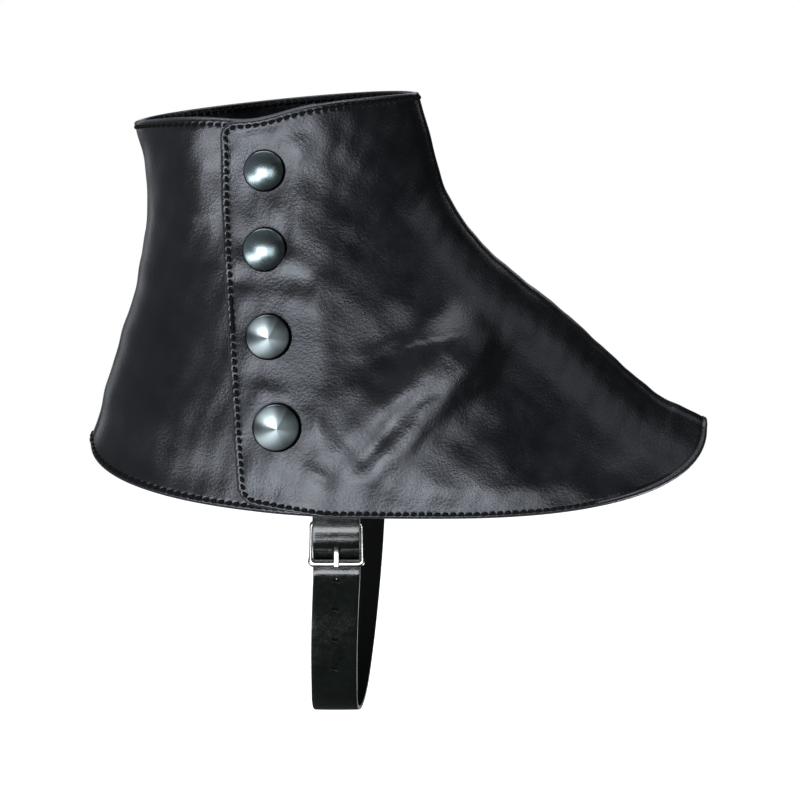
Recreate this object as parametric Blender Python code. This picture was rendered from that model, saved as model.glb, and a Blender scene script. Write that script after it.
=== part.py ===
"""A leather boot cover, or spat, for one boot, filled out as it is when worn.

Three leather panels meet in a seam over the instep and a seam down the heel. The outer side opens
along a flap that four snaps hold over the back panel's underlap. A strap is sewn inside the inner
hem, hangs in a loop below the arch and comes up through a buckle on a tab inside the outer hem.

The origin is on the leg's axis at the narrowest ring of the ankle. +X points at the toe, -Y at the
wearer's outer side and +Z up. Sizes are in millimetres; MM turns them into Blender's metres.
"""

import math
from collections import namedtuple

import bmesh
import bpy
import numpy as np
from mathutils import Vector

MM = 0.001

# Leather, thread gaps and edges
LEATHER = 1.7
GAP = 0.3
SEAM_GAP = 0.3
SEWN_CLEAR = 1.0
FLAP_CORNER = 6.5
FLAP_HEM_LIFT = 2.6
FLAP_HEM_EASE = 38.0

# The overlap on the outer side: the flap's free edge, and the edge of the underlap beneath it
FLAP_EDGE_TOP_X = -18.1
FLAP_EDGE_HEM_X = -12.2
UNDERLAP_EDGE_X = 16.5
OVERLAP_EASE = 15.0
RIM_DIP = 3.4
RIM_DIP_X = -7.5
RIM_DIP_WIDTH = 16.0

# One ring of the cover at each level, from the rim (down = 0) to the hem (down = 1). The ring runs
# from a point on the heel's centre line to one on the instep's, and its sides hang by the drops.
Section = namedtuple(
    "Section",
    "down back_x back_z front_x front_z half_width widest back_round front_round"
    " back_drop front_drop",
)
SECTIONS = (
    Section(0.000, -52.8, 25.9, 53.4, 36.8, 35.5, 0.50, 2.1, 2.0, -1.4, -1.4),
    Section(0.111, -49.0, 11.9, 57.3, 23.1, 34.0, 0.50, 2.1, 2.0, -0.6, -0.6),
    Section(0.222, -48.1, -1.8, 60.8, 9.3, 33.5, 0.49, 2.1, 2.0, 0.0, 0.0),
    Section(0.333, -49.6, -15.3, 66.1, -4.4, 34.5, 0.48, 2.1, 2.0, 0.5, 0.5),
    Section(0.444, -51.9, -28.8, 75.8, -18.2, 36.5, 0.47, 2.1, 2.0, 1.5, 2.0),
    Section(0.556, -54.8, -42.3, 90.9, -32.0, 38.8, 0.46, 2.1, 2.0, 3.5, 5.0),
    Section(0.667, -59.3, -55.8, 107.7, -45.7, 41.2, 0.46, 2.1, 2.0, 6.5, 10.0),
    Section(0.778, -63.7, -69.3, 123.4, -59.5, 43.8, 0.47, 2.2, 2.0, 10.5, 16.5),
    Section(0.889, -67.6, -82.7, 139.4, -73.3, 46.2, 0.49, 2.2, 2.1, 15.5, 24.0),
    Section(0.945, -69.8, -89.4, 150.0, -80.9, 47.2, 0.51, 2.2, 2.2, 19.0, 27.3),
    Section(1.000, -72.4, -95.4, 165.8, -86.6, 48.0, 0.52, 2.3, 2.35, 21.8, 31.2),
)

# Soft folds as seen from the side: each ridge (height > 0) or trough runs from one place to another
Fold = namedtuple("Fold", "x0 z0 x1 z1 height width")
OUTER_FOLDS = (
    Fold(58.0, -60.0, 47.0, -72.0, 2.6, 6.5),
    Fold(47.0, -72.0, 26.0, -91.0, 2.0, 5.5),
    Fold(58.0, -74.0, 45.0, -92.0, 1.6, 5.0),
    Fold(45.0, -92.0, 33.0, -104.0, 1.5, 5.0),
    Fold(50.0, -78.0, 35.0, -96.0, -1.6, 3.6),
    Fold(72.0, -66.0, 63.0, -92.0, -2.6, 7.5),
    Fold(38.0, -48.0, 24.0, -70.0, -1.6, 7.0),
    Fold(84.0, -30.0, 112.0, -62.0, -0.8, 8.0),
)
INNER_FOLDS = (
    Fold(54.0, -52.0, 34.0, -74.0, 2.2, 7.0),
    Fold(34.0, -74.0, 14.0, -88.0, 1.7, 6.0),
    Fold(62.0, -74.0, 44.0, -96.0, 1.8, 5.5),
    Fold(50.0, -70.0, 34.0, -92.0, -1.5, 4.2),
    Fold(80.0, -60.0, 70.0, -90.0, -2.2, 8.0),
    Fold(16.0, -38.0, 4.0, -66.0, -1.4, 7.5),
    Fold(-22.0, -60.0, -34.0, -86.0, -1.2, 8.0),
)

# Snaps down the flap, as centres seen from the side and the cap's width
Snap = namedtuple("Snap", "x z across")
SNAPS = (
    Snap(-2.4, 9.9, 15.4),
    Snap(-2.4, -18.8, 16.4),
    Snap(-1.0, -50.4, 17.2),
    Snap(2.0, -83.4, 18.2),
)
CAP_HEIGHT = 3.4
CAP_EDGE = 0.9
CAP_SEAT_SHARE = 0.86
CAP_CORNER_SHARE = 0.45
CAP_DOME_POWER = 0.8
CAP_DOME_TURNS = (25.0, 45.0, 65.0, 80.0)
POST_RADIUS = 5.0
POST_THICK = 1.2
POST_CLEAR = 0.75

# The strap under the arch: its width and thickness, its holes, and the places its middle line passes.
# It is sewn inside the inner hem at the levels of STRAP_SEWN_Z, STRAP_LEAN nearer the toe than the
# buckle, and its free end stands FREE_END_UP above the heel bar.
STRAP_WIDTH = 17.6
STRAP_THICK = 2.0
STRAP_X = 23.3
STRAP_LEAN = 9.5
HOLE_ACROSS = 2.4
HOLE_REACH = 3.0
HOLE_PITCH = 13.2
HOLES = 4
FIRST_HOLE_Z = -142.5
StrapPoint = namedtuple("StrapPoint", "x y z")
STRAP_LOOP = (
    StrapPoint(32.2, 38.5, -130.0),
    StrapPoint(31.0, 35.0, -150.0),
    StrapPoint(29.2, 30.0, -170.0),
    StrapPoint(27.3, 23.5, -186.0),
    StrapPoint(25.2, 13.0, -198.2),
    StrapPoint(23.2, 0.0, -202.3),
    StrapPoint(21.8, -13.0, -198.2),
    StrapPoint(21.8, -23.5, -186.0),
    StrapPoint(22.0, -30.0, -170.0),
    StrapPoint(22.6, -34.5, -154.0),
)
STRAP_SEWN_Z = (-90.0, -99.0, -108.0, -116.0)
FREE_END_UP = 15.0

# The buckle, with places given across it: up from the heel bar, and out from the foot
HEEL_BAR_Y = -39.5
HEEL_BAR_Z = -120.4
BUCKLE_LEAN = math.radians(8.0)
HEEL_BAR = 2.0
FRONT_BAR = 2.9
FRAME_HEIGHT = 15.2
FRAME_WINDOW = 18.1
FRAME_SIDE = 1.2
FRAME_TAPER = 0.3
FRAME_CORNER = 1.8
FRAME_INNER_CORNER = 0.8
FRAME_DEPTH = 2.0
FRAME_SOFT_EDGE = 0.35
PRONG_WIDE = 2.0
PRONG_THICK = 1.3
PRONG_LOOSE = 0.25
PRONG_HOOK_FROM = 215
PRONG_HOOK_STEP = 24
TAB_WIDTH = 16.8
TAB_THICK = 1.5
TAB_LOOP = 1.75
TAB_TOP_Z = -86.0
TAB_INNER_UP = 14.0
TAB_OUTER_UP = (6.0, 12.0, 17.0)
TAB_SEWN_BELOW_TOP = (9.0, 4.0, 0.0)
TAB_LOOP_STEP = 30
TAB_SLOT = 3.2
TAB_SLOT_DEEP = 12.0
TAB_SLOT_LONG = 11.0
TAB_SLOT_UP = -1.0
BucklePoint = namedtuple("BucklePoint", "out up")
STRAP_IN_BUCKLE = (
    BucklePoint(-2.5, -19.5),
    BucklePoint(-2.5, -16.0),
    BucklePoint(-2.4, -13.6),
    BucklePoint(-0.2, -10.6),
    BucklePoint(2.5, -7.8),
    BucklePoint(4.2, -4.0),
    BucklePoint(4.65, 0.5),
    BucklePoint(4.65, 8.0),
)
PRONG_ARM = (
    BucklePoint(2.1, -4.0),
    BucklePoint(2.0, -7.0),
    BucklePoint(2.6, -10.5),
    BucklePoint(2.5, -13.5),
    BucklePoint(2.1, -16.0),
)

# How finely the pieces are divided
ROWS = 20
FRONT_COLUMNS = 26
BACK_COLUMNS = 13
INNER_COLUMNS = 32
STRIP_STEP = 4.0
CAP_SIDES = 24
POST_SIDES = 16
HOLE_SIDES = 12
RING_SAMPLES = 160
SKIN_STEP = 0.01
SEARCH_STEPS = 40
SHARP_EDGE = math.radians(40)
FRAME_SHARP_EDGE = math.radians(50)


def eased(low, high, at):
    """0 below low, 1 above high, and smooth between."""
    share = min(1.0, max(0.0, (at - low) / (high - low)))
    return share * share * (3.0 - 2.0 * share)


def curve_through(places, values, at):
    """A smooth curve through values at rising places, read at one place."""
    last = len(places) - 1
    k = min(last - 1, max(0, int(np.searchsorted(places, at)) - 1))
    slopes = []
    for i in (k, k + 1):
        before, after = max(0, i - 1), min(last, i + 1)
        slopes.append((values[after] - values[before]) / (places[after] - places[before]))
    span = places[k + 1] - places[k]
    t = (at - places[k]) / span
    return (
        (2 * t**3 - 3 * t**2 + 1) * values[k]
        + (t**3 - 2 * t**2 + t) * span * slopes[0]
        + (3 * t**2 - 2 * t**3) * values[k + 1]
        + (t**3 - t**2) * span * slopes[1]
    )


def section_at(down):
    """The ring at any level between the table's rows."""
    levels = [row.down for row in SECTIONS]
    columns = [[row[i] for row in SECTIONS] for i in range(1, len(Section._fields))]
    return Section(down, *(curve_through(levels, column, down) for column in columns))


def ring_point(ring, angle, side):
    """A point of a ring: angle 0 at the heel, pi at the instep, side -1 outer or +1 inner."""
    length = ring.front_x - ring.back_x
    middle = ring.back_x + ring.widest * length
    at_back = angle < math.pi / 2
    power = ring.back_round if at_back else ring.front_round
    reach = ring.back_x - middle if at_back else ring.front_x - middle
    x = middle + reach * abs(math.cos(angle)) ** (2 / power)
    out = abs(math.sin(angle)) ** (2 / power)
    share = (x - ring.back_x) / length
    drop = ring.back_drop + (ring.front_drop - ring.back_drop) * share
    z = ring.back_z + (ring.front_z - ring.back_z) * share - drop * out
    if side < 0:
        near_rim = 1.0 - eased(0.0, 0.25, ring.down)
        z -= RIM_DIP * near_rim * out * math.exp(-(((x - RIM_DIP_X) / RIM_DIP_WIDTH) ** 2))
    return np.array([x, side * ring.half_width * out, z])


def angle_at_x(ring, x):
    """The angle at which a ring passes a given x."""
    length = ring.front_x - ring.back_x
    middle = ring.back_x + ring.widest * length
    if x < middle:
        share = min(1.0, (middle - x) / (middle - ring.back_x))
        return math.acos(share ** (ring.back_round / 2))
    share = min(1.0, (x - middle) / (ring.front_x - middle))
    return math.pi - math.acos(share ** (ring.front_round / 2))


def skin(down, angle, side):
    """The cover's outer face at a level and angle, and the direction that points out of it."""
    ring = section_at(down)
    point = ring_point(ring, angle, side)
    ahead, behind = min(math.pi, angle + SKIN_STEP), max(0.0, angle - SKIN_STEP)
    around = ring_point(ring, ahead, side) - ring_point(ring, behind, side)
    lower = ring_point(section_at(down + SKIN_STEP), angle, side)
    upper = ring_point(section_at(down - SKIN_STEP), angle, side)
    out = np.cross(around, lower - upper) * side
    return point, out / np.linalg.norm(out)


def fold_height(folds, x, z):
    """How far the folds raise the leather at a place seen from the side."""
    height = 0.0
    for fold in folds:
        run = np.array([fold.x1 - fold.x0, fold.z1 - fold.z0])
        from_start = np.array([x - fold.x0, z - fold.z0])
        share = float(np.clip(from_start @ run / (run @ run), 0.0, 1.0))
        away = np.linalg.norm(from_start - share * run) / fold.width
        height += fold.height * math.exp(-away * away)
    return height


def overlap_lift(x):
    """How far the flap stands over the underlap, easing to nothing past the underlap's edge."""
    return (LEATHER + GAP) * (1.0 - eased(UNDERLAP_EDGE_X + 1.5, UNDERLAP_EDGE_X + OVERLAP_EASE, x))


def leather(down, angle, side, lift=0.0, folds=()):
    """The outer and inner points of a wall of leather at a level and angle."""
    point, out = skin(down, angle, side)
    fold = fold_height(folds, point[0], point[2])
    if fold < 0.0:
        fold *= 1.0 - lift / (LEATHER + GAP)
    raised = lift + fold
    faces = []
    for depth in (raised, raised - LEATHER):
        face = point + out * depth
        face[1] = side * max(side * face[1], SEAM_GAP / 2)
        faces.append(face)
    return faces


def even_angles(down, first, last, count):
    """Angles from first to last that divide a ring into equal lengths."""
    ring = section_at(down)
    fine = np.linspace(first, last, RING_SAMPLES)
    points = np.array([ring_point(ring, angle, -1) for angle in fine])
    along = np.concatenate([[0.0], np.cumsum(np.linalg.norm(np.diff(points, axis=0), axis=1))])
    return np.interp(np.linspace(0.0, along[-1], count + 1), along, fine)


def wall_mesh(name, outer, inner):
    """A closed wall between two grids of points, rows down and columns along."""
    rows, columns = len(outer), len(outer[0])
    mesh = bpy.data.meshes.new(name)
    shape = bmesh.new()
    grids = []
    for grid in (outer, inner):
        grids.append([[shape.verts.new(point * MM) for point in row] for row in grid])
    front, back = grids
    for r in range(rows - 1):
        for c in range(columns - 1):
            shape.faces.new((front[r][c], front[r + 1][c], front[r + 1][c + 1], front[r][c + 1]))
            shape.faces.new((back[r][c], back[r][c + 1], back[r + 1][c + 1], back[r + 1][c]))
    around = [(r, 0) for r in range(rows)]
    around += [(rows - 1, c) for c in range(1, columns)]
    around += [(r, columns - 1) for r in range(rows - 2, -1, -1)]
    around += [(0, c) for c in range(columns - 2, 0, -1)]
    for (r0, c0), (r1, c1) in zip(around, around[1:] + around[:1]):
        shape.faces.new((front[r1][c1], front[r0][c0], back[r0][c0], back[r1][c1]))
    bmesh.ops.recalc_face_normals(shape, faces=shape.faces)
    bmesh.ops.triangulate(shape, faces=shape.faces)
    shape.to_mesh(mesh)
    shape.free()
    return mesh


def placed(name, mesh, material):
    """An object of the scene with its own material, shaded smooth but for its edges."""
    mesh.materials.clear()
    mesh.materials.append(material)
    mesh.shade_smooth()
    mesh.set_sharp_from_angle(angle=SHARP_EDGE)
    piece = bpy.data.objects.new(name, mesh)
    bpy.context.scene.collection.objects.link(piece)
    return piece


def finish(name, colour, roughness, metallic):
    """A plain surface finish."""
    material = bpy.data.materials.new(name)
    material.use_nodes = True
    shader = material.node_tree.nodes["Principled BSDF"]
    shader.inputs["Base Color"].default_value = (*colour, 1.0)
    shader.inputs["Roughness"].default_value = roughness
    shader.inputs["Metallic"].default_value = metallic
    return material


def flap_edge_angle(down):
    """Where the flap's free edge crosses a ring."""
    x = FLAP_EDGE_TOP_X + (FLAP_EDGE_HEM_X - FLAP_EDGE_TOP_X) * max(0.0, down) ** 2
    return angle_at_x(section_at(down), x)


def cover_height():
    """The length of the outer side from rim to hem, for turning millimetres into levels."""
    rim, _ = skin(0.0, math.pi / 2, -1)
    hem, _ = skin(1.0, math.pi / 2, -1)
    return float(np.linalg.norm(hem - rim))


def outer_front_panel(material):
    """The flap and the outer side of the instep, with the flap's corners rounded."""
    height = cover_height()
    outer, inner = [], []
    for r in range(ROWS + 1):
        level = r / ROWS
        angles = even_angles(level, flap_edge_angle(level), math.pi, FRONT_COLUMNS)
        first, _ = skin(level, angles[0], -1)
        outer_row, inner_row = [], []
        for angle in angles:
            point, _ = skin(level, angle, -1)
            in_from_edge = point[0] - first[0]
            short = max(0.0, FLAP_CORNER - in_from_edge)
            cut = FLAP_CORNER - math.sqrt(FLAP_CORNER**2 - short**2)
            lift = FLAP_HEM_LIFT * (1.0 - eased(0.0, FLAP_HEM_EASE, in_from_edge))
            top = cut / height
            bottom = 1.0 - (cut + lift) / height
            down = top + (bottom - top) * level
            faces = leather(down, angle, -1, overlap_lift(point[0]), OUTER_FOLDS)
            outer_row.append(faces[0])
            inner_row.append(faces[1])
        outer.append(outer_row)
        inner.append(inner_row)
    return placed("outer_front_panel", wall_mesh("outer_front_panel", outer, inner), material)


def plain_panel(name, side, columns, ends, folds, material):
    """A panel between two edges; ends(down) gives the angles that it runs between."""
    outer, inner = [], []
    for r in range(ROWS + 1):
        down = r / ROWS
        faces = [
            leather(down, angle, side, 0.0, folds) for angle in even_angles(down, *ends(down), columns)
        ]
        outer.append([face[0] for face in faces])
        inner.append([face[1] for face in faces])
    return placed(name, wall_mesh(name, outer, inner), material)


def underlap_ends(down):
    """From the heel seam to the underlap's edge."""
    return 0.0, angle_at_x(section_at(down), UNDERLAP_EDGE_X)


def whole_side(down):
    """From the heel seam to the instep seam, at any level."""
    return 0.0, math.pi


def side_place(x, z, lift, folds, side):
    """The level and angle at which one side of the cover passes a place seen from the side."""
    low, high = 0.0, 1.0
    for _ in range(SEARCH_STEPS):
        middle = (low + high) / 2
        point, _ = leather(middle, angle_at_x(section_at(middle), x), side, lift, folds)
        low, high = (middle, high) if point[2] > z else (low, middle)
    return low, angle_at_x(section_at(low), x)


def facing(out):
    """A rotation that turns +Z to point out of the leather."""
    return Vector(out).to_track_quat("Z", "Y")


def turned(name, profile, segments):
    """A closed body turned about Z from a profile of (radius, height) that starts and ends on Z."""
    mesh = bpy.data.meshes.new(name)
    shape = bmesh.new()
    rings = []
    for radius, height in profile[1:-1]:
        ring = []
        for s in range(segments):
            turn = 2 * math.pi * s / segments
            place = (radius * math.cos(turn), radius * math.sin(turn), height)
            ring.append(shape.verts.new(np.array(place) * MM))
        rings.append(ring)
    low = shape.verts.new((0.0, 0.0, profile[0][1] * MM))
    top = shape.verts.new((0.0, 0.0, profile[-1][1] * MM))
    for s in range(segments):
        t = (s + 1) % segments
        shape.faces.new((low, rings[0][t], rings[0][s]))
        shape.faces.new((top, rings[-1][s], rings[-1][t]))
        for lower, upper in zip(rings, rings[1:]):
            shape.faces.new((lower[s], lower[t], upper[t], upper[s]))
    bmesh.ops.recalc_face_normals(shape, faces=shape.faces)
    shape.to_mesh(mesh)
    shape.free()
    return mesh


def snap(number, row, cap_finish, post_finish):
    """A domed cap on the flap, and the flat post behind the underlap."""
    lift = LEATHER + GAP
    down, angle = side_place(row.x, row.z, lift, OUTER_FOLDS, -1)
    outer, _ = leather(down, angle, -1, lift, OUTER_FOLDS)
    _, out = skin(down, angle, -1)
    radius = row.across / 2
    dome = [(0.0, 0.0), (radius * CAP_SEAT_SHARE, 0.0)]
    dome += [(radius, CAP_EDGE * CAP_CORNER_SHARE), (radius, CAP_EDGE)]
    for turn in CAP_DOME_TURNS:
        slope = math.radians(turn)
        rise = CAP_EDGE + (CAP_HEIGHT - CAP_EDGE) * math.sin(slope)
        dome.append((radius * math.cos(slope) ** CAP_DOME_POWER, rise))
    dome.append((0.0, CAP_HEIGHT))
    cap = placed(f"snap_cap_{number}", turned(f"snap_cap_{number}", dome, CAP_SIDES), cap_finish)
    cap.rotation_mode = "QUATERNION"
    cap.rotation_quaternion = facing(out)
    cap.location = (outer + out * GAP) * MM

    _, inner = leather(down, angle, -1)
    disc = [(0.0, 0.0), (POST_RADIUS, 0.0), (POST_RADIUS, POST_THICK), (0.0, POST_THICK)]
    post = placed(f"snap_post_{number}", turned(f"snap_post_{number}", disc, POST_SIDES), post_finish)
    post.rotation_mode = "QUATERNION"
    post.rotation_quaternion = facing(-out)
    post.location = (inner - out * POST_CLEAR) * MM


def smooth_route(points, step):
    """Points about a step apart on a smooth curve through a route's own points."""
    points = np.array(points, float)
    along = np.concatenate([[0.0], np.cumsum(np.linalg.norm(np.diff(points, axis=0), axis=1))])
    count = int(round(along[-1] / step))
    places = np.linspace(0.0, along[-1], count + 1)
    return [
        np.array([curve_through(along, points[:, axis], place) for axis in range(3)])
        for place in places
    ]


def strip_mesh(name, route, width, thick):
    """A flat strip that follows a route, its width across the foot's length."""
    route = np.array(route)
    mesh = bpy.data.meshes.new(name)
    shape = bmesh.new()
    rings = []
    for i, place in enumerate(route):
        run = route[min(i + 1, len(route) - 1)] - route[max(i - 1, 0)]
        run = run / np.linalg.norm(run)
        across = np.array([1.0, 0.0, 0.0]) - run[0] * run
        across = across / np.linalg.norm(across)
        face = np.cross(run, across)
        corners = []
        for w, t in ((-1, -1), (1, -1), (1, 1), (-1, 1)):
            corners.append(place + across * w * width / 2 + face * t * thick / 2)
        rings.append([shape.verts.new(corner * MM) for corner in corners])
    for before, after in zip(rings, rings[1:]):
        for k in range(4):
            n = (k + 1) % 4
            shape.faces.new((before[k], before[n], after[n], after[k]))
    shape.faces.new(rings[0])
    shape.faces.new(rings[-1])
    bmesh.ops.recalc_face_normals(shape, faces=shape.faces)
    shape.to_mesh(mesh)
    shape.free()
    return mesh


def in_buckle(out, up, x=STRAP_X):
    """A place of the buckle in the part's frame."""
    y = HEEL_BAR_Y - out * math.cos(BUCKLE_LEAN) + up * math.sin(BUCKLE_LEAN)
    z = HEEL_BAR_Z + out * math.sin(BUCKLE_LEAN) + up * math.cos(BUCKLE_LEAN)
    return np.array([x, y, z])


def inside_wall(x, z, side, clear, width):
    """A place inside the cover's wall, clear of its inner face over a strip's whole width."""
    folds = OUTER_FOLDS if side < 0 else INNER_FOLDS
    reaches = []
    for at in (x - width / 2, x, x + width / 2):
        down, angle = side_place(at, z, 0.0, folds, side)
        reaches.append(abs(leather(down, angle, side, 0.0, folds)[1][1]))
    return np.array([x, side * (min(reaches) - clear), z])


def strap_route():
    """The strap's middle line, from where it is sewn in the inner hem to its tucked free end."""
    half = STRAP_THICK / 2 + SEWN_CLEAR
    far_x = STRAP_X + STRAP_LEAN
    sewn = [inside_wall(far_x, z, 1, half, STRAP_WIDTH) for z in STRAP_SEWN_Z]
    loop = [np.array([row.x, row.y, row.z]) for row in STRAP_LOOP]
    up_side = [in_buckle(row.out, row.up) for row in STRAP_IN_BUCKLE]
    up_side.append(in_buckle(STRAP_IN_BUCKLE[-1].out, FREE_END_UP))
    return smooth_route(sewn + loop + up_side, STRIP_STEP)


def cut_away(piece, cutter_mesh, name):
    """Cuts a shape out of a piece; the shape stays as a hidden guide."""
    cutter = bpy.data.objects.new(name, cutter_mesh)
    bpy.context.scene.collection.objects.link(cutter)
    cutter.hide_render = True
    cutter.display_type = "WIRE"
    cut = piece.modifiers.new(name, "BOOLEAN")
    cut.operation = "DIFFERENCE"
    cut.solver = "EXACT"
    cut.object = cutter
    return cutter


def hole_cutter(place, run, across):
    """A short round bar through the strap at a place on its route."""
    face = np.cross(run, np.array([1.0, 0.0, 0.0]))
    low, high = -HOLE_REACH, HOLE_REACH
    bar = [(0.0, low), (across / 2, low), (across / 2, high), (0.0, high)]
    mesh = turned("hole", bar, HOLE_SIDES)
    matrix = Vector(face).to_track_quat("Z", "Y").to_matrix().to_4x4()
    matrix.translation = Vector(place * MM)
    mesh.transform(matrix)
    return mesh


def strap(material):
    """The long strap, pierced by the prong and by a row of spare holes below the buckle."""
    route = strap_route()
    piece = placed("strap", strip_mesh("strap", route, STRAP_WIDTH, STRAP_THICK), material)
    points = np.array(route)
    along = np.concatenate([[0.0], np.cumsum(np.linalg.norm(np.diff(points, axis=0), axis=1))])
    near = points[:, 1] < 0
    first = np.interp(-FIRST_HOLE_Z, -points[near, 2][::-1], along[near][::-1])
    for k in range(HOLES):
        at = first - k * HOLE_PITCH
        place, ahead = (
            np.array([np.interp(a, along, points[:, axis]) for axis in range(3)])
            for a in (at, at + 1.0)
        )
        cut_away(piece, hole_cutter(place, ahead - place, HOLE_ACROSS), f"hole_{k + 1}")
    clear = 2 * GAP
    slot = strip_mesh("prong_slot", prong_route(), PRONG_WIDE + clear, PRONG_THICK + clear)
    cut_away(piece, slot, "prong_slot")


def prong_route():
    """The prong's middle line: a hook round the heel bar, then an arm to the front bar."""
    radius = HEEL_BAR / 2 + GAP + PRONG_LOOSE + PRONG_THICK / 2
    route = []
    for turn in range(PRONG_HOOK_FROM, -1, -PRONG_HOOK_STEP):
        angle = math.radians(turn)
        route.append(in_buckle(radius * math.cos(angle), radius * math.sin(angle)))
    return route + [in_buckle(row.out, row.up) for row in PRONG_ARM]


def buckle_prong(material):
    """The prong that passes through the strap and rests on the front bar."""
    route = prong_route()
    placed("buckle_prong", strip_mesh("buckle_prong", route, PRONG_WIDE, PRONG_THICK), material)


def corner_loop(half_width, low, high, radius, steps=4):
    """Points round a rectangle with round corners, in the buckle's own plane."""
    loop = []
    for cx, cy, start in (
        (half_width - radius, high - radius, 0),
        (-half_width + radius, high - radius, 90),
        (-half_width + radius, low + radius, 180),
        (half_width - radius, low + radius, 270),
    ):
        for s in range(steps + 1):
            turn = math.radians(start + 90 * s / steps)
            loop.append((cx + radius * math.cos(turn), cy + radius * math.sin(turn)))
    return loop


def buckle_frame(material):
    """The rectangular frame: a thin heel bar on top, two sides and a deeper front bar."""
    half = FRAME_WINDOW / 2 + FRAME_SIDE
    low, high = -FRAME_HEIGHT - FRONT_BAR / 2, HEEL_BAR / 2
    narrower = FRAME_TAPER / (high - low) / half
    outside = corner_loop(half, low, high, FRAME_CORNER)
    inside = corner_loop(half - FRAME_SIDE, low + FRONT_BAR, high - HEEL_BAR, FRAME_INNER_CORNER)
    mesh = bpy.data.meshes.new("buckle_frame")
    shape = bmesh.new()
    loops = []
    for loop, depth in ((outside, 1), (inside, 1), (inside, -1), (outside, -1)):
        ring = []
        for x, up in loop:
            out = depth * (FRAME_DEPTH if up < -HEEL_BAR else HEEL_BAR) / 2
            across = x * (1.0 - narrower * (up - low))
            ring.append(shape.verts.new((across * MM, up * MM, out * MM)))
        loops.append(ring)
    count = len(outside)
    for before, after in zip(loops, loops[1:] + loops[:1]):
        for k in range(count):
            n = (k + 1) % count
            shape.faces.new((before[k], before[n], after[n], after[k]))
    bmesh.ops.recalc_face_normals(shape, faces=shape.faces)
    shape.to_mesh(mesh)
    shape.free()
    piece = placed("buckle_frame", mesh, material)
    piece.location = (STRAP_X * MM, HEEL_BAR_Y * MM, HEEL_BAR_Z * MM)
    piece.rotation_euler = (math.pi / 2 - BUCKLE_LEAN, 0.0, 0.0)
    edge = piece.modifiers.new("rounded", "BEVEL")
    edge.width = FRAME_SOFT_EDGE * MM
    edge.segments = 1
    edge.limit_method = "ANGLE"
    edge.angle_limit = FRAME_SHARP_EDGE


def buckle_tab(material):
    """The short strap folded over the heel bar, slotted for the prong."""
    reach = TAB_LOOP + TAB_THICK / 2
    route = [in_buckle(-reach, up) for up in (TAB_INNER_UP, TAB_INNER_UP / 2)]
    for turn in range(180, 361, TAB_LOOP_STEP):
        angle = math.radians(turn)
        route.append(in_buckle(reach * math.cos(angle), reach * math.sin(angle)))
    route += [in_buckle(reach, up) for up in TAB_OUTER_UP]
    for below in TAB_SEWN_BELOW_TOP:
        clear = SEWN_CLEAR + TAB_THICK / 2
        route.append(inside_wall(STRAP_X, TAB_TOP_Z - below, -1, clear, TAB_WIDTH))
    piece = placed("buckle_tab", strip_mesh("buckle_tab", route, TAB_WIDTH, TAB_THICK), material)
    slot = bpy.data.meshes.new("tab_slot")
    shape = bmesh.new()
    bmesh.ops.create_cube(shape, size=1.0)
    size = (TAB_SLOT * MM, TAB_SLOT_DEEP * MM, TAB_SLOT_LONG * MM)
    bmesh.ops.scale(shape, vec=size, verts=shape.verts)
    shape.to_mesh(slot)
    shape.free()
    cutter = cut_away(piece, slot, "tab_slot")
    cutter.location = Vector(in_buckle(0.0, TAB_SLOT_UP) * MM)
    cutter.rotation_euler = (-BUCKLE_LEAN, 0.0, 0.0)


def build():
    """Clears the scene and makes every piece of the cover."""
    for old in list(bpy.data.objects):
        bpy.data.objects.remove(old, do_unlink=True)

    outer_front_panel(finish("outer_front_leather", (0.012, 0.012, 0.015), 0.42, 0.0))
    back = finish("outer_back_leather", (0.012, 0.012, 0.015), 0.42, 0.0)
    plain_panel("outer_back_panel", -1, BACK_COLUMNS, underlap_ends, (), back)
    inner = finish("inner_leather", (0.012, 0.012, 0.015), 0.42, 0.0)
    plain_panel("inner_panel", 1, INNER_COLUMNS, whole_side, INNER_FOLDS, inner)
    for number, row in enumerate(SNAPS, start=1):
        cap = finish(f"snap_cap_{number}", (0.23, 0.28, 0.30), 0.22, 1.0)
        post = finish(f"snap_post_{number}", (0.30, 0.32, 0.33), 0.35, 1.0)
        snap(number, row, cap, post)
    strap(finish("strap_leather", (0.010, 0.014, 0.011), 0.25, 0.0))
    buckle_tab(finish("tab_leather", (0.010, 0.014, 0.011), 0.25, 0.0))
    buckle_frame(finish("frame_nickel", (0.80, 0.80, 0.78), 0.18, 1.0))
    buckle_prong(finish("prong_nickel", (0.80, 0.80, 0.78), 0.18, 1.0))


build()
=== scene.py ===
# %% [markdown]
# # A leather boot cover
#
# A boot cover, or spat, is three panels of leather sewn into a short tube that flares over the foot.
# A flap with four snaps closes it on the outer side, and a strap runs under the arch to a buckle.
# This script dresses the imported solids: fine leather with folds and stitching, a glossy strap and
# polished metal. Lengths are in millimetres until MM turns them into Blender's metres; the camera,
# the lights and the floor are placed in metres at once.

import math
from collections import namedtuple

import bmesh
import bpy
import numpy as np
from mathutils import Matrix, Vector


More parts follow.
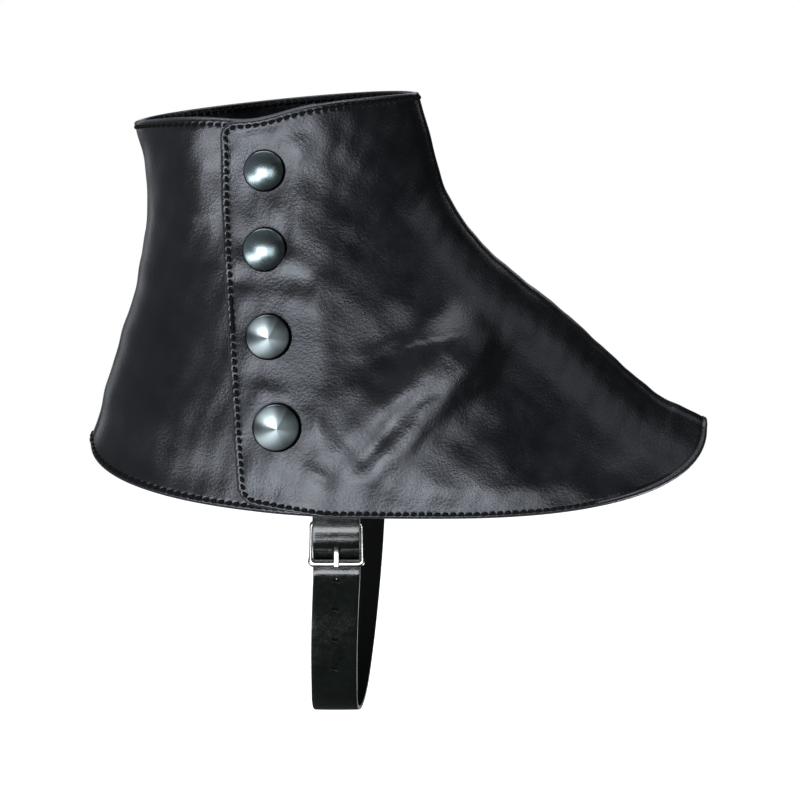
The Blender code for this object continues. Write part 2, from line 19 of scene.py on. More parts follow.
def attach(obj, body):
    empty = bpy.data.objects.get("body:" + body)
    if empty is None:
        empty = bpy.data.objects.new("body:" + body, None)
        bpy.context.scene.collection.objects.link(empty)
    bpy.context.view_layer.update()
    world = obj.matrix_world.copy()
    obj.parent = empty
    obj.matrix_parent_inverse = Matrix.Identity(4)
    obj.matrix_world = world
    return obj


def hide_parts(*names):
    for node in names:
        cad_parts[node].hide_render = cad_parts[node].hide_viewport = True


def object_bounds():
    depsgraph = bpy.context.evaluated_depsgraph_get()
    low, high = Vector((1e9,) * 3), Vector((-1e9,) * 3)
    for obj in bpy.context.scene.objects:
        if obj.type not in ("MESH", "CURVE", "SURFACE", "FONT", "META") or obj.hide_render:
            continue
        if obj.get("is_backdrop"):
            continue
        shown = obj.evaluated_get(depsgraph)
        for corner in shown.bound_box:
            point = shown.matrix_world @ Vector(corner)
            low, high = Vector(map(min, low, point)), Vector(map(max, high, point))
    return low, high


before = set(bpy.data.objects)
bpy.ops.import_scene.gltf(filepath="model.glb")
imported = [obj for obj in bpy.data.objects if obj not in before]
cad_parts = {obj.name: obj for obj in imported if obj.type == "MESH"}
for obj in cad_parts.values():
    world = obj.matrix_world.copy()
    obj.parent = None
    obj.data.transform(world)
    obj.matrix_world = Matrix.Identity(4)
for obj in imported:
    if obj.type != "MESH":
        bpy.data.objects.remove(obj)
cad_low, cad_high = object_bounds()
MM = 0.001
size = [round((high - low) / MM, 1) for low, high in zip(cad_low, cad_high)]
print("solids:", len(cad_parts), "nodes, size in mm", size)

# %% [markdown]
# ## The camera
#
# The photograph was taken from the wearer's outer side, a little above the middle of the cover and
# from about a metre away. A camera could also stand nearer with a short lens, but that would swell
# the middle of the flap. So it stays back, and a long lens keeps the flattening of the photograph.

# %% Place the camera
CAMERA_ELEVATION = math.radians(9.5)
CAMERA_DISTANCE = 0.95
CAMERA_TARGET = Vector((0.0469, 0.0, -0.0808))
PIXELS_PER_METRE = 2600.0
IMAGE_PIXELS = 800.0
SENSOR = 36.0


def toward(azimuth, elevation):
    """A direction from the cover: azimuth 0 is the viewer's side, positive to the right."""
    flat = math.cos(elevation)
    return Vector((math.sin(azimuth) * flat, -math.cos(azimuth) * flat, math.sin(elevation)))


def put_in_scene(name, data):
    """A new object that shows some data, linked to the scene."""
    thing = bpy.data.objects.new(name, data)
    bpy.context.scene.collection.objects.link(thing)
    return thing


camera_data = bpy.data.cameras.new("camera")
camera_data.sensor_width = SENSOR
camera_data.lens = SENSOR * CAMERA_DISTANCE * PIXELS_PER_METRE / IMAGE_PIXELS
camera = put_in_scene("camera", camera_data)
looking_from = toward(0.0, CAMERA_ELEVATION)
camera.location = CAMERA_TARGET + looking_from * CAMERA_DISTANCE
camera.rotation_euler = looking_from.to_track_quat("Z", "Y").to_euler()
bpy.context.scene.camera = camera
print("lens", round(camera_data.lens, 1), "mm")

# %% [markdown]
# ## Light
#
# Black leather shows itself by what it reflects. A lamp without size would give it only hard specks,
# so each light is a soft box whose size and place are chosen for the part that mirrors it.
#
# The key stands just left of the viewer and lights the flap; a weaker box beside it carries that light
# on towards the instep, and the toe turns away from both and stays dark. The low left box lights the
# folds that face down, and the one low on the right the far sides of the ridges. One above gives the
# rim and the tops of the folds their gleam. Faint ones behind the heel, behind the cover and over the
# instep draw its outline and keep the far side from going black.

# %% Hang the soft boxes
SoftBox = namedtuple("SoftBox", "name azimuth elevation distance width height power colour")
SOFT_BOXES = (
    SoftBox("key", -6.0, -9.0, 1.2, 0.73, 0.60, 13.0, (0.93, 0.96, 1.0)),
    SoftBox("beside the key", 24.0, -9.0, 1.2, 0.34, 0.5, 2.4, (0.93, 0.96, 1.0)),
    SoftBox("low left", -33.0, -27.0, 1.2, 0.78, 0.38, 7.2, (0.93, 0.96, 1.0)),
    SoftBox("low right", 100.0, -42.0, 0.9, 0.4, 0.4, 3.0, (1.0, 0.98, 0.94)),
    SoftBox("edge left", -138.0, 14.0, 1.2, 0.35, 0.9, 0.7, (0.93, 0.96, 1.0)),
    SoftBox("above", 0.0, 82.0, 1.1, 1.2, 0.68, 9.0, (0.93, 0.96, 1.0)),
    SoftBox("behind", 172.0, 24.0, 1.3, 1.0, 0.7, 2.0, (0.93, 0.96, 1.0)),
    SoftBox("instep", 72.0, 38.0, 1.1, 0.5, 0.5, 0.8, (0.93, 0.96, 1.0)),
)

for box in SOFT_BOXES:
    lamp = bpy.data.lights.new(box.name, "AREA")
    lamp.shape = "RECTANGLE"
    lamp.size = box.width
    lamp.size_y = box.height
    lamp.energy = box.power
    lamp.color = box.colour
    light = put_in_scene(box.name, lamp)
    away = toward(math.radians(box.azimuth), math.radians(box.elevation))
    light.location = CAMERA_TARGET + away * box.distance
    light.rotation_euler = away.to_track_quat("Z", "Y").to_euler()
    print("soft box", box.name, "at", [round(v, 2) for v in light.location])

# %% [markdown]
# ## The room and the floor
#
# The metal and the wax polish also mirror the room, so it isn't left black: it fades from a pale wall
# on the left to a dark one on the right. The viewer sees plain white instead, as in the photograph. A
# picture of a room would give the same, but two shaders and a fade are enough.
#
# The floor is a disc of white paper, well below the strap. It casts nothing back on the cover.

# %% Set the room and the floor
ROOM_COLOUR = (0.86, 0.93, 1.0)
ROOM_LEFT = 0.34
ROOM_RIGHT = 0.02
ROOM_FADE_FROM = -1.0
ROOM_FADE_TO = 0.1
WHITE = (1.0, 1.0, 1.0, 1.0)
PAPER = (0.9, 0.9, 0.9, 1.0)
PAPER_ROUGHNESS = 0.8
PAPER_GLOW = 0.97
FLOOR_Z = -0.42
FLOOR_RADIUS = 1.6
FLOOR_SIDES = 96

world = bpy.data.worlds.new("room")
bpy.context.scene.world = world
world.use_nodes = True
room = world.node_tree
room_light = room.nodes["Background"]
room_light.inputs["Color"].default_value = (*ROOM_COLOUR, 1.0)
heading = room.nodes.new("ShaderNodeTexCoord")
split = room.nodes.new("ShaderNodeSeparateXYZ")
room.links.new(heading.outputs["Generated"], split.inputs["Vector"])
wall = room.nodes.new("ShaderNodeMapRange")
wall.inputs["From Min"].default_value = ROOM_FADE_FROM
wall.inputs["From Max"].default_value = ROOM_FADE_TO
wall.inputs["To Min"].default_value = ROOM_LEFT
wall.inputs["To Max"].default_value = ROOM_RIGHT
room.links.new(split.outputs["X"], wall.inputs["Value"])
room.links.new(wall.outputs["Result"], room_light.inputs["Strength"])
backdrop = room.nodes.new("ShaderNodeBackground")
backdrop.inputs["Color"].default_value = WHITE
ray = room.nodes.new("ShaderNodeLightPath")
either = room.nodes.new("ShaderNodeMixShader")
room.links.new(ray.outputs["Is Camera Ray"], either.inputs["Fac"])
room.links.new(room_light.outputs["Background"], either.inputs[1])
room.links.new(backdrop.outputs["Background"], either.inputs[2])
room.links.new(either.outputs["Shader"], room.nodes["World Output"].inputs["Surface"])
bpy.context.scene.view_settings.view_transform = "Standard"

floor_mesh = bpy.data.meshes.new("floor")
disc = bmesh.new()
bmesh.ops.create_circle(disc, cap_ends=True, segments=FLOOR_SIDES, radius=FLOOR_RADIUS)
disc.to_mesh(floor_mesh)
disc.free()
floor = put_in_scene("floor", floor_mesh)
floor.location = (CAMERA_TARGET.x, 0.0, FLOOR_Z)
paper = bpy.data.materials.new("white_paper")
paper.use_nodes = True
paper_shader = paper.node_tree.nodes["Principled BSDF"]
paper_shader.inputs["Base Color"].default_value = PAPER
paper_shader.inputs["Roughness"].default_value = PAPER_ROUGHNESS
paper_shader.inputs["Emission Color"].default_value = WHITE
paper_shader.inputs["Emission Strength"].default_value = PAPER_GLOW
floor_mesh.materials.append(paper)
floor.visible_glossy = False
floor.visible_diffuse = False
floor.visible_shadow = False
floor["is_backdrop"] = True
print("floor", round(-FLOOR_Z, 2), "m below the ankle")

# %% [markdown]
# ## The form of the cover
#
# Every ring round the cover is a soft oval between a point on the heel's centre line and a point on
# the instep's. A short table holds eleven such rings from the rim down to the hem, and smooth
# curves run between them. The solids could be copied and smoothed instead, but on this form a mesh
# of any fineness can be laid.
#
# A row of the table says how far down the ring is, where its heel point and its instep point are, how
# wide half of it is and where it is widest, how full its back and its front are, and how far its
# sides hang below the line from point to point.

# %% Write down the rings
RING_COLUMNS = (
    "down back_x back_z front_x front_z half_width widest back_round front_round"
    " back_drop front_drop"
).split()
RINGS = np.array([
    (0.000, -52.8, 25.9, 53.4, 36.8, 35.5, 0.50, 2.1, 2.0, -1.4, -1.4),
    (0.111, -49.0, 11.9, 57.3, 23.1, 34.0, 0.50, 2.1, 2.0, -0.6, -0.6),
    (0.222, -48.1, -1.8, 60.8, 9.3, 33.5, 0.49, 2.1, 2.0, 0.0, 0.0),
    (0.333, -49.6, -15.3, 66.1, -4.4, 34.5, 0.48, 2.1, 2.0, 0.5, 0.5),
    (0.444, -51.9, -28.8, 75.8, -18.2, 36.5, 0.47, 2.1, 2.0, 1.5, 2.0),
    (0.556, -54.8, -42.3, 90.9, -32.0, 38.8, 0.46, 2.1, 2.0, 3.5, 5.0),
    (0.667, -59.3, -55.8, 107.7, -45.7, 41.2, 0.46, 2.1, 2.0, 6.5, 10.0),
    (0.778, -63.7, -69.3, 123.4, -59.5, 43.8, 0.47, 2.2, 2.0, 10.5, 16.5),
    (0.889, -67.6, -82.7, 139.4, -73.3, 46.2, 0.49, 2.2, 2.1, 15.5, 24.0),
    (0.945, -69.8, -89.4, 150.0, -80.9, 47.2, 0.51, 2.2, 2.2, 19.0, 27.3),
    (1.000, -72.4, -95.4, 165.8, -86.6, 48.0, 0.52, 2.3, 2.35, 21.8, 31.2),
])
LEATHER = 1.7
GAP = 0.3
FLAP_CORNER = 6.5
FLAP_HEM_LIFT = 2.6
FLAP_HEM_EASE = 38.0
FLAP_EDGE_TOP_X = -18.1
FLAP_EDGE_HEM_X = -12.2
UNDERLAP_EDGE_X = 16.5
RIM_DIP = 3.4
RIM_DIP_X = -7.5
RIM_DIP_WIDTH = 16.0
RIM_DIP_ENDS = 0.25
LOOSE = 0.5
OVERLAP_ENDS = ((0.25, 0.6, 9.0), (0.75, 1.0, 30.0))
SKIN_STEP = 0.01
OUTER, INNER = -1, 1
print("rings:", len(RINGS), "from the rim to the hem")

# %% Lay the form through the rings
def eased(low, high, at):
    """0 below low, 1 above high, and smooth between."""
    share = np.clip((at - low) / (high - low), 0.0, 1.0)
    return share * share * (3.0 - 2.0 * share)


def curve_through(places, values, at):
    """A smooth curve through values at rising places, read at other places."""
    last = len(places) - 1
    before = np.clip(np.arange(last + 1) - 1, 0, last)
    after = np.clip(np.arange(last + 1) + 1, 0, last)
    slopes = (values[after] - values[before]) / (places[after] - places[before])
    k = np.clip(np.searchsorted(places, at) - 1, 0, last - 1)
    span = places[k + 1] - places[k]
    t = (at - places[k]) / span
    return (
        (2 * t**3 - 3 * t**2 + 1) * values[k]
        + (t**3 - 2 * t**2 + t) * span * slopes[k]
        + (3 * t**2 - 2 * t**3) * values[k + 1]
        + (t**3 - t**2) * span * slopes[k + 1]
    )


def ring_at(down):
    """The ring's measures at each level."""
    return {
        name: curve_through(RINGS[:, 0], RINGS[:, i], down)
        for i, name in enumerate(RING_COLUMNS)
        if i > 0
    }


def form(down, angle, side):
    """Points of the form: angle 0 is the heel and pi the instep."""
    ring = ring_at(down)
    length = ring["front_x"] - ring["back_x"]
    middle = ring["back_x"] + ring["widest"] * length
    at_back = angle < math.pi / 2
    power = np.where(at_back, ring["back_round"], ring["front_round"])
    reach = np.where(at_back, ring["back_x"], ring["front_x"]) - middle
    x = middle + reach * np.abs(np.cos(angle)) ** (2 / power)
    out = np.abs(np.sin(angle)) ** (2 / power)
    share = (x - ring["back_x"]) / length
    drop = ring["back_drop"] + (ring["front_drop"] - ring["back_drop"]) * share
    z = ring["back_z"] + (ring["front_z"] - ring["back_z"]) * share - drop * out
    if side == OUTER:
        near_rim = 1.0 - eased(0.0, RIM_DIP_ENDS, down)
        z = z - RIM_DIP * near_rim * out * np.exp(-(((x - RIM_DIP_X) / RIM_DIP_WIDTH) ** 2))
    return np.stack([x, side * ring["half_width"] * out, z], axis=-1)


def unit(vectors):
    """The same vectors, one long."""
    return vectors / np.linalg.norm(vectors, axis=-1, keepdims=True)


def skin(down, angle, side):
    """Points of the form and the directions that point out of it."""
    ahead = form(down, np.minimum(math.pi, angle + SKIN_STEP), side)
    behind = form(down, np.maximum(0.0, angle - SKIN_STEP), side)
    lower = form(down + SKIN_STEP, angle, side)
    upper = form(down - SKIN_STEP, angle, side)
    return form(down, angle, side), unit(np.cross(ahead - behind, lower - upper) * side)


def angle_at_x(down, x):
    """The angle at which the ring at each level passes a given x."""
    ring = ring_at(down)
    middle = ring["back_x"] + ring["widest"] * (ring["front_x"] - ring["back_x"])
    at_back = x < middle
    reach = np.where(at_back, middle - ring["back_x"], ring["front_x"] - middle)
    power = np.where(at_back, ring["back_round"], ring["front_round"])
    turn = np.arccos(np.clip(np.abs(x - middle) / reach, 0.0, 1.0) ** (power / 2))
    return np.where(at_back, turn, math.pi - turn)


def flap_edge(down):
    """Where the flap's free edge crosses each level."""
    x = FLAP_EDGE_TOP_X + (FLAP_EDGE_HEM_X - FLAP_EDGE_TOP_X) * down**2
    return angle_at_x(down, x)


def underlap_edge(down):
    """Where the underlap's edge crosses each level."""
    return angle_at_x(down, np.full_like(down, UNDERLAP_EDGE_X))


def heel_line(down):
    """The seam down the heel."""
    return np.zeros_like(down)


def instep_line(down):
    """The seam down the instep."""
    return np.full_like(down, math.pi)


def overlap_share(x):
    """1 where the flap lies on the underlap, falling to 0 in two slopes beyond the underlap's edge."""
    share = 1.0
    for part, begins, ends in OVERLAP_ENDS:
        share = share - part * eased(UNDERLAP_EDGE_X + begins, UNDERLAP_EDGE_X + ends, x)
    return share


middle_ring = form(np.array([0.5, 0.5]), np.array([0.0, math.pi]), OUTER)
print("half way down, the cover reaches x", np.round(middle_ring[:, 0], 1).tolist(), "mm")

# %% [markdown]
# ## Folds
#
# Leather that has been worn keeps its folds. They could be sculpted or left to a cloth simulation,
# but then no fold would land where the photograph shows it. Here each fold is a path of (x, z, height)
# drawn on the cover as seen from the side; a height below zero makes a hollow.
#
# Left and right are the widths of its two flanks: a ridge with one steep flank catches the light on
# one side only, which is how folds read in black leather. Start says how far the fold's round first
# end reaches before its path begins. Shoulder says how full its top is: 2 is a soft hill, and 3 is
# flatter on top with steeper sides.

# %% Describe the folds
Fold = namedtuple("Fold", "left right start shoulder path")
OUTER_FOLDS = (
    Fold(13.5, 13.5, 17.0, 3.0, (
        (65.5, -60.5, 6.7), (60, -66.5, 5.3), (53, -75, 3.3), (45, -84, 1.8), (32, -94.5, 0.1),
    )),
    Fold(5.0, 5.5, 4.0, 2.0, (
        (61, -59, 0.2), (50.6, -68.1, 0.4), (37.2, -78.1, 0.6), (28.9, -85.7, 0.6),
        (24.3, -90.9, 0.5), (19.6, -95.6, 0.1),
    )),
    Fold(4.4, 4.4, 4.0, 2.6, (
        (62.3, -73.5, 0.5), (56.5, -79.3, 0.9), (50.0, -87.4, 1.1), (43, -93.8, 0.9),
        (37.2, -99.6, 0.8), (32.6, -103.4, 0.6), (33.3, -110, 0.1),
    )),
    Fold(2.6, 2.6, 3.0, 2.0, (
        (61, -71.0, -0.25), (48.7, -75.8, -0.35), (40.5, -86, -0.4), (32.5, -95.5, -0.4),
        (27.8, -100.2, -0.1),
    )),
    Fold(19.0, 10.0, 9.0, 2.0, ((14, -57, -1.0), (28, -58, -2.1), (40, -56, -1.2))),
    Fold(2.2, 2.8, 2.0, 2.0, (
        (16.6, -30, 0.1), (16.4, -40, 0.35), (16.6, -50, 0.35), (20, -56, 0.3), (33, -57.5, 0.25),
        (46, -52.5, 0.3), (58, -54, 0.1),
    )),
    Fold(2.2, 1.8, 2.0, 2.0, ((17.2, -72, 0.1), (16.8, -82, 0.4), (17.0, -92, 0.1))),
    Fold(2.4, 2.0, 2.0, 2.0, ((10, -97, 0.1), (17, -101, 0.5), (22, -105, 0.1))),
    Fold(5.0, 4.0, 4.0, 2.0, ((10, 20, 0.2), (9.5, 8, 0.6), (10, -10, 0.6), (9, -24, 0.2))),
    Fold(4.5, 4.0, 4.0, 2.0, ((-13, -23, 0.4), (4, -23.5, 0.5), (14, -22, 0.2))),
    Fold(3.4, 3.4, 4.0, 2.0, ((-13, -31, -0.5), (2, -30.5, -0.6), (13, -31, -0.3))),
    Fold(4.0, 4.6, 4.0, 2.0, ((-12, -54, 0.3), (4, -54.5, 0.6), (15, -54, 0.3))),
    Fold(4.0, 4.0, 4.0, 2.0, ((-11, -65, -0.5), (4, -65.5, -0.7), (14, -66, -0.3))),
    Fold(5.0, 5.0, 4.0, 2.0, ((13, -79, 0.5), (17, -83, 0.6), (26, -86, 0.1))),
    Fold(8.5, 5.0, 6.0, 2.0, ((-18, 12, 0.7), (-18, -8, 1.2), (-17.5, -26, 0.8), (-17, -36, 0.1))),
    Fold(3.6, 3.6, 4.0, 2.0, ((-13, 21.5, -0.4), (2, 23, -0.5), (12, 25, -0.2))),
)
INNER_FOLDS = (
    Fold(8.0, 5.0, 6.0, 2.0, ((58, -52, 2.6), (52, -62, 2.4), (38, -74, 1.6), (18, -86, 0.6))),
    Fold(6.0, 4.5, 6.0, 2.0, ((64, -70, 1.4), (54, -84, 2.0), (44, -96, 1.0))),
    Fold(4.0, 4.0, 4.0, 2.0, ((52, -72, -1.0), (42, -84, -1.4), (34, -92, -0.8))),
    Fold(6.0, 9.0, 7.0, 2.0, ((82, -58, -1.2), (78, -74, -2.2), (70, -90, -1.4))),
    Fold(7.5, 7.5, 7.5, 2.0, ((18, -36, -0.8), (10, -52, -1.4), (4, -66, -0.9))),
    Fold(8.0, 8.0, 8.0, 2.0, ((-20, -58, -0.8), (-30, -74, -1.2), (-34, -86, -0.7))),
)
BACK_FOLDS = (
    Fold(9.0, 12.0, 9.0, 2.0, ((-28.5, 26, 2.7), (-28, 8, 3.3), (-26.5, -7, 2.8), (-25, -24, 0.2))),
    Fold(6.0, 6.0, 6.0, 2.0, ((-52, -18, -0.4), (-40, -24, -0.7), (-30, -24, -0.4))),
    Fold(7.0, 5.0, 6.0, 2.0, ((-60, -78, 0.3), (-46, -88, 0.6), (-32, -92, 0.3))),
)
PINCH = 0.55
PINCH_REACH = 10.0
print("folds:", len(OUTER_FOLDS), "outside,", len(INNER_FOLDS), "inside,", len(BACK_FOLDS), "behind")

# %% Raise the folds
def fold_height(folds, x, z):
    """How far the folds raise the leather at places seen from the side."""
    total = np.zeros_like(x)
    for fold in folds:
        path = np.array(fold.path, float)
        opening = path[1, :2] - path[0, :2]
        opening /= np.hypot(*opening)
        from_start = (x - path[0, 0], z - path[0, 1])
        beyond = np.maximum(0.0, -from_start[0] * opening[0] - from_start[1] * opening[1])
        beside = np.abs(opening[0] * from_start[1] - opening[1] * from_start[0])
        nearest = np.full_like(x, np.inf)
        flank = np.full_like(x, fold.left)
        height = np.zeros_like(x)
        for start, end in zip(path, path[1:]):
            run = end[:2] - start[:2]
            dx, dz = x - start[0], z - start[1]
            share = np.clip((dx * run[0] + dz * run[1]) / (run @ run), 0.0, 1.0)
            away = np.hypot(dx - share * run[0], dz - share * run[1])
            closer = away < nearest
            nearest = np.where(closer, away, nearest)
            turn = run[0] * dz - run[1] * dx
            flank = np.where(closer, np.where(turn > 0, fold.left, fold.right), flank)
            height = np.where(closer, start[2] + share * (end[2] - start[2]), height)
        across = np.where(beyond > 0.0, beside, nearest)
        reach = np.hypot(across / flank, beyond / fold.start)
        total += height * np.exp(-(reach**fold.shoulder))
    return total


WAVE_BEND = 0.9
Wave = namedtuple("Wave", "height length turn shift")
WAVES = (
    Wave(0.16, 41.0, 0.3, 0.4),
    Wave(0.14, 29.0, 1.4, 1.9),
    Wave(0.10, 17.0, 2.2, 4.1),
    Wave(0.07, 11.0, 0.9, 2.6),
    Wave(0.05, 7.3, 2.8, 5.2),
)


def unevenness(x, z):
    """The gentle ups and downs that no hide is without."""
    total = np.zeros_like(x)
    for wave in WAVES:
        across = x * math.cos(wave.turn) + z * math.sin(wave.turn)
        along = -x * math.sin(wave.turn) + z * math.cos(wave.turn)
        bend = WAVE_BEND * np.sin(along / wave.length + wave.shift)
        total += wave.height * np.sin(2 * math.pi * across / wave.length + wave.shift + bend)
    return total


broad_fold = np.array(OUTER_FOLDS[0].path)
rises = fold_height(OUTER_FOLDS, broad_fold[:, 0], broad_fold[:, 1])
print("the broad fold over the instep rises", round(float(rises.max()), 1), "mm")

# %% [markdown]
# ## Where the snaps sit
#
# Four snaps close the flap, each a little wider than the one above it, and they draw the leather in
# round them. So their places are written down before the leather is shaped. The two upper caps are
# polished and the two lower ones brushed. Pressed into soft leather, none looks quite straight out:
# the last two numbers turn each cap to the right and down, in degrees.

# %% Place the snaps
Snap = namedtuple("Snap", "x z across brushed turned_right turned_down")
SNAPS = (
    Snap(-2.4, 9.9, 15.4, False, 8.0, 0.0),
    Snap(-2.4, -18.8, 16.4, False, 11.0, 10.0),
    Snap(-1.0, -50.4, 17.2, True, 6.0, 9.0),
    Snap(2.0, -83.4, 18.2, True, 6.0, 7.0),
)
print("snaps:", len(SNAPS))

# %% [markdown]
# ## A mesh for each panel
#
# Cut leather has a round edge, a row of stitches close by and a slight swelling between the two. So
# the mesh is laid out by real distance from each edge, with close rows there and a millimetre
# between rows elsewhere. The alternative, a plain grid with a bevel, would put its rows anywhere.

# %% Lay a grid on the form
FORM_LEVELS = 161
FORM_SHARES = 240
CLOSE_ROWS = (0.0, 0.04, 0.13, 0.28, 0.5, 0.8, 1.15, 1.5, 1.85, 2.2, 2.55, 2.9, 3.4, 4.1, 5.0)
STITCH_IN = 2.2

Grid = namedtuple("Grid", "down angle from_start from_end from_rim from_hem")


def places_between(length, spacing):
    """Distances of close rows at both ends and even ones between, for lines of any length."""
    close = np.array(CLOSE_ROWS)
    count = int(round((np.mean(length) - 2 * close[-1]) / spacing))
    between = np.linspace(0.0, 1.0, count + 1)[1:-1]
    rows = [np.full_like(length, place) for place in close]
    rows += [close[-1] + share * (length - 2 * close[-1]) for share in between]
    rows += [length - place for place in close[::-1]]
    return np.stack(rows, axis=-1)


def lay_out(side, start, end, spacing, trim=None):
    """A grid between two edge lines; trim(from_start) gives what is cut off the rim and the hem."""
    levels = np.linspace(0.0, 1.0, FORM_LEVELS)
    shares = np.linspace(0.0, 1.0, FORM_SHARES)
    fine = start(levels)[:, None] + (end(levels) - start(levels))[:, None] * shares
    points = form(levels[:, None], fine, side)
    along = np.zeros_like(fine)
    along[:, 1:] = np.cumsum(np.linalg.norm(np.diff(points, axis=1), axis=2), axis=1)
    across = places_between(along[:, -1], spacing)
    angles = np.array([np.interp(a, s, f) for a, s, f in zip(across, along, fine)])

    points = form(levels[:, None], angles, side)
    below = np.zeros_like(angles)
    below[1:] = np.cumsum(np.linalg.norm(np.diff(points, axis=0), axis=2), axis=0)
    height = below[-1]
    rim_cut, hem_cut = trim(across.mean(axis=0)) if trim else (0.0 * height, 0.0 * height)
    rows = places_between(height - rim_cut - hem_cut, spacing).T
    grid = []
    for j in range(angles.shape[1]):
        down = np.interp(rows[:, j] + rim_cut[j], below[:, j], levels)
        grid.append((
            down,
            np.interp(down, levels, angles[:, j]),
            np.interp(down, levels, across[:, j]),
            np.interp(down, levels, along[:, -1] - across[:, j]),
            rows[:, j] + rim_cut[j],
            height[j] - rows[:, j] - rim_cut[j],
        ))
    return Grid(*np.array(grid).transpose(1, 2, 0))


def flap_trim(from_start):
    """The flap's round corners, and its hem's slight rise over the underlap's."""
    short = np.maximum(0.0, FLAP_CORNER - from_start)
    cut = FLAP_CORNER - np.sqrt(FLAP_CORNER**2 - short**2)
    return cut, cut + FLAP_HEM_LIFT * (1.0 - eased(0.0, FLAP_HEM_EASE, from_start))


def corner_distance(from_side, from_end):
    """How far inside a round corner a place lies."""
    inside = (from_side < FLAP_CORNER) & (from_end < FLAP_CORNER)
    away = FLAP_CORNER - np.hypot(FLAP_CORNER - from_side, FLAP_CORNER - from_end)
    return np.where(inside, away, np.minimum(from_side, from_end))


print("rows close to each edge:", len(CLOSE_ROWS), "within", CLOSE_ROWS[-1], "mm")

# %% [markdown]
# ## A panel's two faces
#
# The outer face is the form, raised by its folds, the lap of the flap and the relief of the sewing. The
# inner face follows it a leather's thickness below. Both fall back in a round at the edges. At the
# hem a facing is turned in, which makes the edge thicker. Near the toe the hem curls in. A seam
# stands up a little with its allowance and has a groove in its middle, where the two panels are drawn
# together until they meet. A displacement modifier could raise the folds, but it would move both
# faces alike and round no edge.

# %% Shape a panel's two faces
EDGE_ROUND = 0.8
HEM_ROUND = 1.25
HEM_ROUND_ENDS = (3.0, 6.0)
HEM_ROW_ENDS = 6.0
HEM_FACING = 0.9
HEM_FACING_ENDS = (8.0, 9.0)
SEAM_CLOSED = 0.02
SEAM_RAISE = 0.55
SEAM_RAISE_ENDS = (3.4, 5.4)
SEAM_GROOVE = 0.3
SEAM_GROOVE_WIDTH = 0.5
SEAM_FALL = 0.5
STITCH_SINK = 0.2
STITCH_SINK_WIDTH = 0.75
EDGE_SWELL = 0.2
EDGE_SWELL_AT = 0.55 * STITCH_IN
EDGE_SWELL_WIDTH = 0.8
FOLD_FADE = 9.0
FOLD_AT_EDGE = 4.0
HEM_CURL = 1.7
HEM_CURL_REACH = 16.0
HEM_CURL_BEGINS = (15.0, 50.0)
STITCH_PITCH = 2.9

Faces = namedtuple("Faces", "outer inner edge out")


def rounded_off(distance, radius):
    """How far a face falls back at a distance from an edge of a given roundness."""
    short = np.clip(radius - distance, 0.0, radius)
    return radius - np.sqrt(radius**2 - short**2)


def sewn_relief(distance):
    """The sunk line of a row of stitches, with the leather swelling beside it."""
    sink = -STITCH_SINK * np.exp(-(((distance - STITCH_IN) / STITCH_SINK_WIDTH) ** 2))
    return sink + EDGE_SWELL * np.exp(-(((distance - EDGE_SWELL_AT) / EDGE_SWELL_WIDTH) ** 2))


def lapped_leather(bumps, x, z):
    """How the flap lies: how far the lap raises it, and its bumps, drawn in round each snap."""
    lapped = overlap_share(x)
    for snap in SNAPS:
        away = np.hypot(x - snap.x, z - snap.z)
        bumps = bumps - PINCH * np.exp(-((away / PINCH_REACH) ** 2))
    on_underlap = np.where(bumps < 0.0, LOOSE * np.tanh(bumps / LOOSE), bumps)
    return (LEATHER + GAP + LOOSE) * lapped, lapped * on_underlap + (1.0 - lapped) * bumps


def shape_faces(grid, side, folds, free_edge, seam, laps=False):
    """The outer and inner face of a panel over its grid, and how near each point is to an edge."""
    point, out = skin(grid.down, grid.angle, side)
    x, z = point[..., 0], point[..., 2]
    bumps = fold_height(folds, x, z) + unevenness(x, z)
    bumps *= eased(0.0, FOLD_FADE, np.minimum(grid.from_rim, grid.from_hem) + FOLD_AT_EDGE)
    near_hem = 1.0 - eased(0.0, HEM_CURL_REACH, grid.from_hem)
    bumps -= HEM_CURL * eased(*HEM_CURL_BEGINS, x) * near_hem
    raised = np.zeros_like(x)
    if laps:
        raised, bumps = lapped_leather(bumps, x, z)
    edge = np.minimum(np.minimum(grid.from_rim, grid.from_hem), free_edge)
    at_hem = grid.from_hem <= HEM_ROW_ENDS
    sewn_edge = np.where(at_hem, grid.from_hem, grid.from_rim)
    relief = sewn_relief(np.minimum(sewn_edge, free_edge))
    relief += SEAM_RAISE * (1.0 - eased(*SEAM_RAISE_ENDS, seam))
    relief -= SEAM_GROOVE * np.exp(-((seam / SEAM_GROOVE_WIDTH) ** 2))
    thicker = 1.0 - eased(*HEM_ROUND_ENDS, grid.from_hem)
    roundness = EDGE_ROUND + (HEM_ROUND - EDGE_ROUND) * thicker
    fall = rounded_off(edge, roundness) + SEAM_FALL * rounded_off(seam, EDGE_ROUND)
    facing = HEM_FACING * (1.0 - eased(*HEM_FACING_ENDS, grid.from_hem))
    level = raised + bumps + relief
    outer = point + out * (level - fall)[..., None]
    inner = point + out * (raised + bumps - LEATHER - facing + fall)[..., None]
    for face in (outer, inner):
        inside_half = side * np.maximum(side * face[..., 1], 0.0)
        face[..., 1] = np.where(seam < SEAM_CLOSED, 0.0, inside_half)
    return Faces(outer, inner, edge, out)


print("the hem is", LEATHER + HEM_FACING, "mm thick, and the other edges", LEATHER, "mm")

# %% [markdown]
# ## Closing the wall
#
# The two faces are joined round their edges into one closed wall, because real leather has a cut
# edge and the light should find no way in. The mesh also stores two numbers at every point for the
# finishes: how far it is from an edge, and how many stitches along its seam it lies. A painted mask
# could say the same, but it would blur at the edges.

